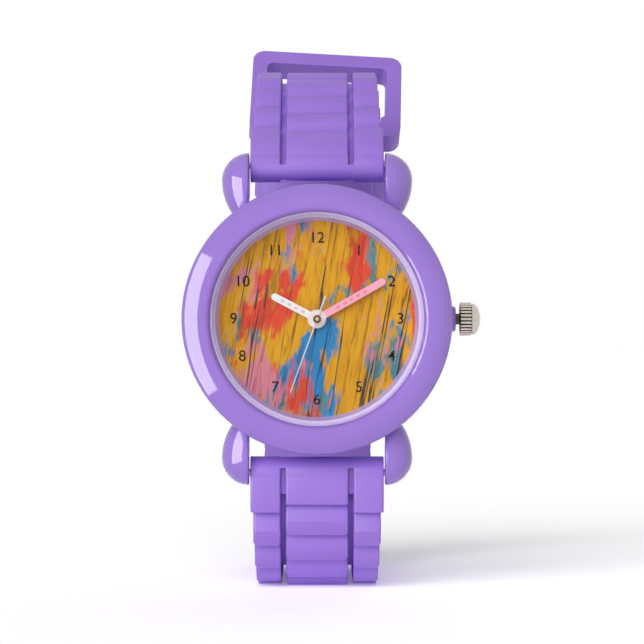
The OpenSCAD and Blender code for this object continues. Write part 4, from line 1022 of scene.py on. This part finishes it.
# Matt TPU: a soft purple with the fine grain of an etched mould, and a slight cloudiness from the flow.
# The grain is drawn coarser than a real etch, so that it shows.
strap_purple, strap_shade = "#A17CDC", "#9A74D6"
etch_mm, etch_depth_mm, flow_mm = 0.12, 0.03, 5.0
matt_tpu, tree = new_material("matt_purple_tpu")
place = add_node(tree, "TexCoord").outputs["Object"]
grain = add_node(tree, "TexNoise", inputs={"Vector": place, "Scale": 1 / (etch_mm * mm), "Detail": 2.0})
cloud = add_node(tree, "TexNoise", inputs={"Vector": place, "Scale": 1 / (flow_mm * mm), "Detail": 3.0})
tint = add_node(tree, "MixRGB", inputs={
    "Fac": cloud.outputs["Fac"], "Color1": linear(strap_purple), "Color2": linear(strap_shade),
})
rub = add_node(tree, "MapRange", inputs={"Value": cloud.outputs["Fac"], "To Min": 0.42, "To Max": 0.54})
etch = add_node(tree, "Bump", inputs={
    "Height": grain.outputs["Fac"], "Strength": 0.12, "Distance": etch_depth_mm * mm,
})
rubber = add_node(tree, "BsdfPrincipled", inputs={
    "Base Color": tint.outputs["Color"], "Roughness": rub.outputs["Result"], "IOR": 1.5,
    "Normal": etch.outputs["Normal"],
})
add_node(tree, "OutputMaterial", inputs={"Surface": rubber.outputs["BSDF"]})
for piece, body, node in ((upper_strap, "strap_12", "strap_12"), (lower_strap, "strap_6", "strap_6")):
    give(piece, matt_tpu)
    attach(piece, body)
    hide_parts(node)

# Buckle frame and keeper: a satin frame that swings on the pin, and a soft loop that slides on the strap.
# Both keep their solid's form, with the rounded edges of the mouldings, and match the strap's matt purple.
weld_gap, flat_turn, round_turn, round_steps, buckle_smooth = 2e-6, 3, 40, 4, 35
for name, node, body, edge_mm, slot_name in (
    ("buckle_bow", "buckle_frame", "buckle", 0.75, "buckle_abs"),
    ("keeper_loop", "keeper", "keeper", 0.35, "strap_tpu"),
):
    piece = copied(frame["nodes"][node])
    piece.name = piece.data.name = name
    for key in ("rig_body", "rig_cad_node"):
        del piece[key]
    piece.parent = None
    pick(piece, "FACE", lambda corners: True)
    bpy.ops.mesh.remove_doubles(threshold=weld_gap)
    bpy.ops.mesh.dissolve_limited(angle_limit=math.radians(flat_turn))
    done(piece)
    soften = piece.modifiers.new("edges", "BEVEL")
    soften.width, soften.segments, soften.limit_method = edge_mm * mm, round_steps, "ANGLE"
    soften.angle_limit = math.radians(round_turn)
    bpy.ops.object.modifier_apply(modifier=soften.name)
    done(piece, buckle_smooth)
    give(piece, matt_tpu)
    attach(piece, body)
    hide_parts(node)

# Stage: a white sweep under the watch in a white room, which metal and lens show too.
# The floor keeps the watch's shadow, and throws less light back on the watch than the camera sees.
floor_m, floor_drop_mm = 6.0, 0.05
floor_white, floor_bounce, floor_glow, room_level, plain_white = 1.8, 1.1, 0.14, 0.12, "#FFFFFF"
bpy.ops.object.select_all(action="DESELECT")
bpy.ops.mesh.primitive_plane_add(size=floor_m, location=(0, 0, -floor_drop_mm * mm))
floor = bpy.context.object
floor.name = floor.data.name = "floor"
sweep, tree = new_material("white_sweep")
path = add_node(tree, "LightPath")
seen = add_node(tree, "Math", {"operation": "MAXIMUM"}, {
    0: path.outputs["Is Camera Ray"], 1: path.outputs["Is Glossy Ray"],
})
shade = add_node(tree, "MapRange", inputs={
    "Value": seen.outputs["Value"], "To Min": floor_bounce, "To Max": floor_white,
})
paper = add_node(tree, "BsdfDiffuse", inputs={"Color": shade.outputs["Result"]})
glow = add_node(tree, "Emission", inputs={"Color": linear(plain_white), "Strength": floor_glow})
lit = add_node(tree, "AddShader", inputs={0: paper.outputs["BSDF"], 1: glow.outputs["Emission"]})
add_node(tree, "OutputMaterial", inputs={"Surface": lit.outputs["Shader"]})
give(floor, sweep)
world = bpy.data.worlds.new("white_room")
bpy.context.scene.world = world
world.use_nodes = True
tree = world.node_tree
tree.nodes.clear()
path = add_node(tree, "LightPath")
seen = add_node(tree, "Math", {"operation": "MAXIMUM"}, {
    0: path.outputs["Is Camera Ray"], 1: path.outputs["Is Glossy Ray"],
})
shown = add_node(tree, "Math", {"operation": "MAXIMUM"}, {
    0: seen.outputs["Value"], 1: path.outputs["Is Transmission Ray"],
})
brightness = add_node(tree, "MapRange", inputs={
    "Value": shown.outputs["Value"], "To Min": room_level, "To Max": 1.0,
})
room = add_node(tree, "Background", inputs={
    "Color": linear(plain_white), "Strength": brightness.outputs["Result"],
})
add_node(tree, "OutputWorld", inputs={"Surface": room.outputs["Background"]})

# Lamps: soft daylight from the upper left in front, and a weak one from behind that lifts the strap's top.
# Each: where it comes from, spread in degrees, strength
lamps = (("daylight", (-0.30, -0.87, 0.40), 55, 2.25), ("back_light", (0.15, 0.75, 0.65), 60, 0.4))
for name, light_from, spread, power in lamps:
    data = bpy.data.lights.new(name, "SUN")
    data.energy, data.angle = power, math.radians(spread)
    lamp = bpy.data.objects.new(name, data)
    lamp.rotation_euler = Vector(light_from).to_track_quat("Z", "Y").to_euler()
    lamp.visible_glossy = False
    bpy.context.scene.collection.objects.link(lamp)
# A tall window panel on the left, which shows only as the reflection in glossy pieces
panel_x, panel_u, panel_w, panel_level = -45.0, (-62.0, -5.0), (-31.5, 26.0), 8.0
data = bpy.data.lights.new("window_panel", "AREA")
data.shape = "RECTANGLE"
data.size, data.size_y = (panel_w[1] - panel_w[0]) * mm, (panel_u[1] - panel_u[0]) * mm
data.energy = panel_level * math.pi * data.size * data.size_y
window = bpy.data.objects.new("window_panel", data)
window.location = on_dial(panel_x, sum(panel_u) / 2, sum(panel_w) / 2)
window.rotation_euler = (0, -math.pi / 2, 0)
window.visible_diffuse = window.visible_transmission = window.visible_camera = False
bpy.context.scene.collection.objects.link(window)

# Camera: straight in front of the dial and level with it, far back, as the watch was photographed.
# Its lens follows from the scale at the ring's front: pixels of the square image for each mm.
eye_x, eye_back, eye_w = 0.58, 320, -0.35
image_px, px_per_mm, sensor_mm, clip_near, clip_far = 644, 8.63, 36.0, 0.01, 20.0
camera = bpy.data.objects.new("camera", bpy.data.cameras.new("camera"))
camera.location = on_dial(eye_x, -eye_back, eye_w)
camera.rotation_euler = (math.pi / 2, 0, 0)
camera.data.sensor_width = sensor_mm
camera.data.lens = sensor_mm * eye_back * px_per_mm / image_px
camera.data.clip_start, camera.data.clip_end = clip_near, clip_far
bpy.context.scene.collection.objects.link(camera)
bpy.context.scene.camera = camera
bpy.context.scene.view_settings.view_transform = "Standard"
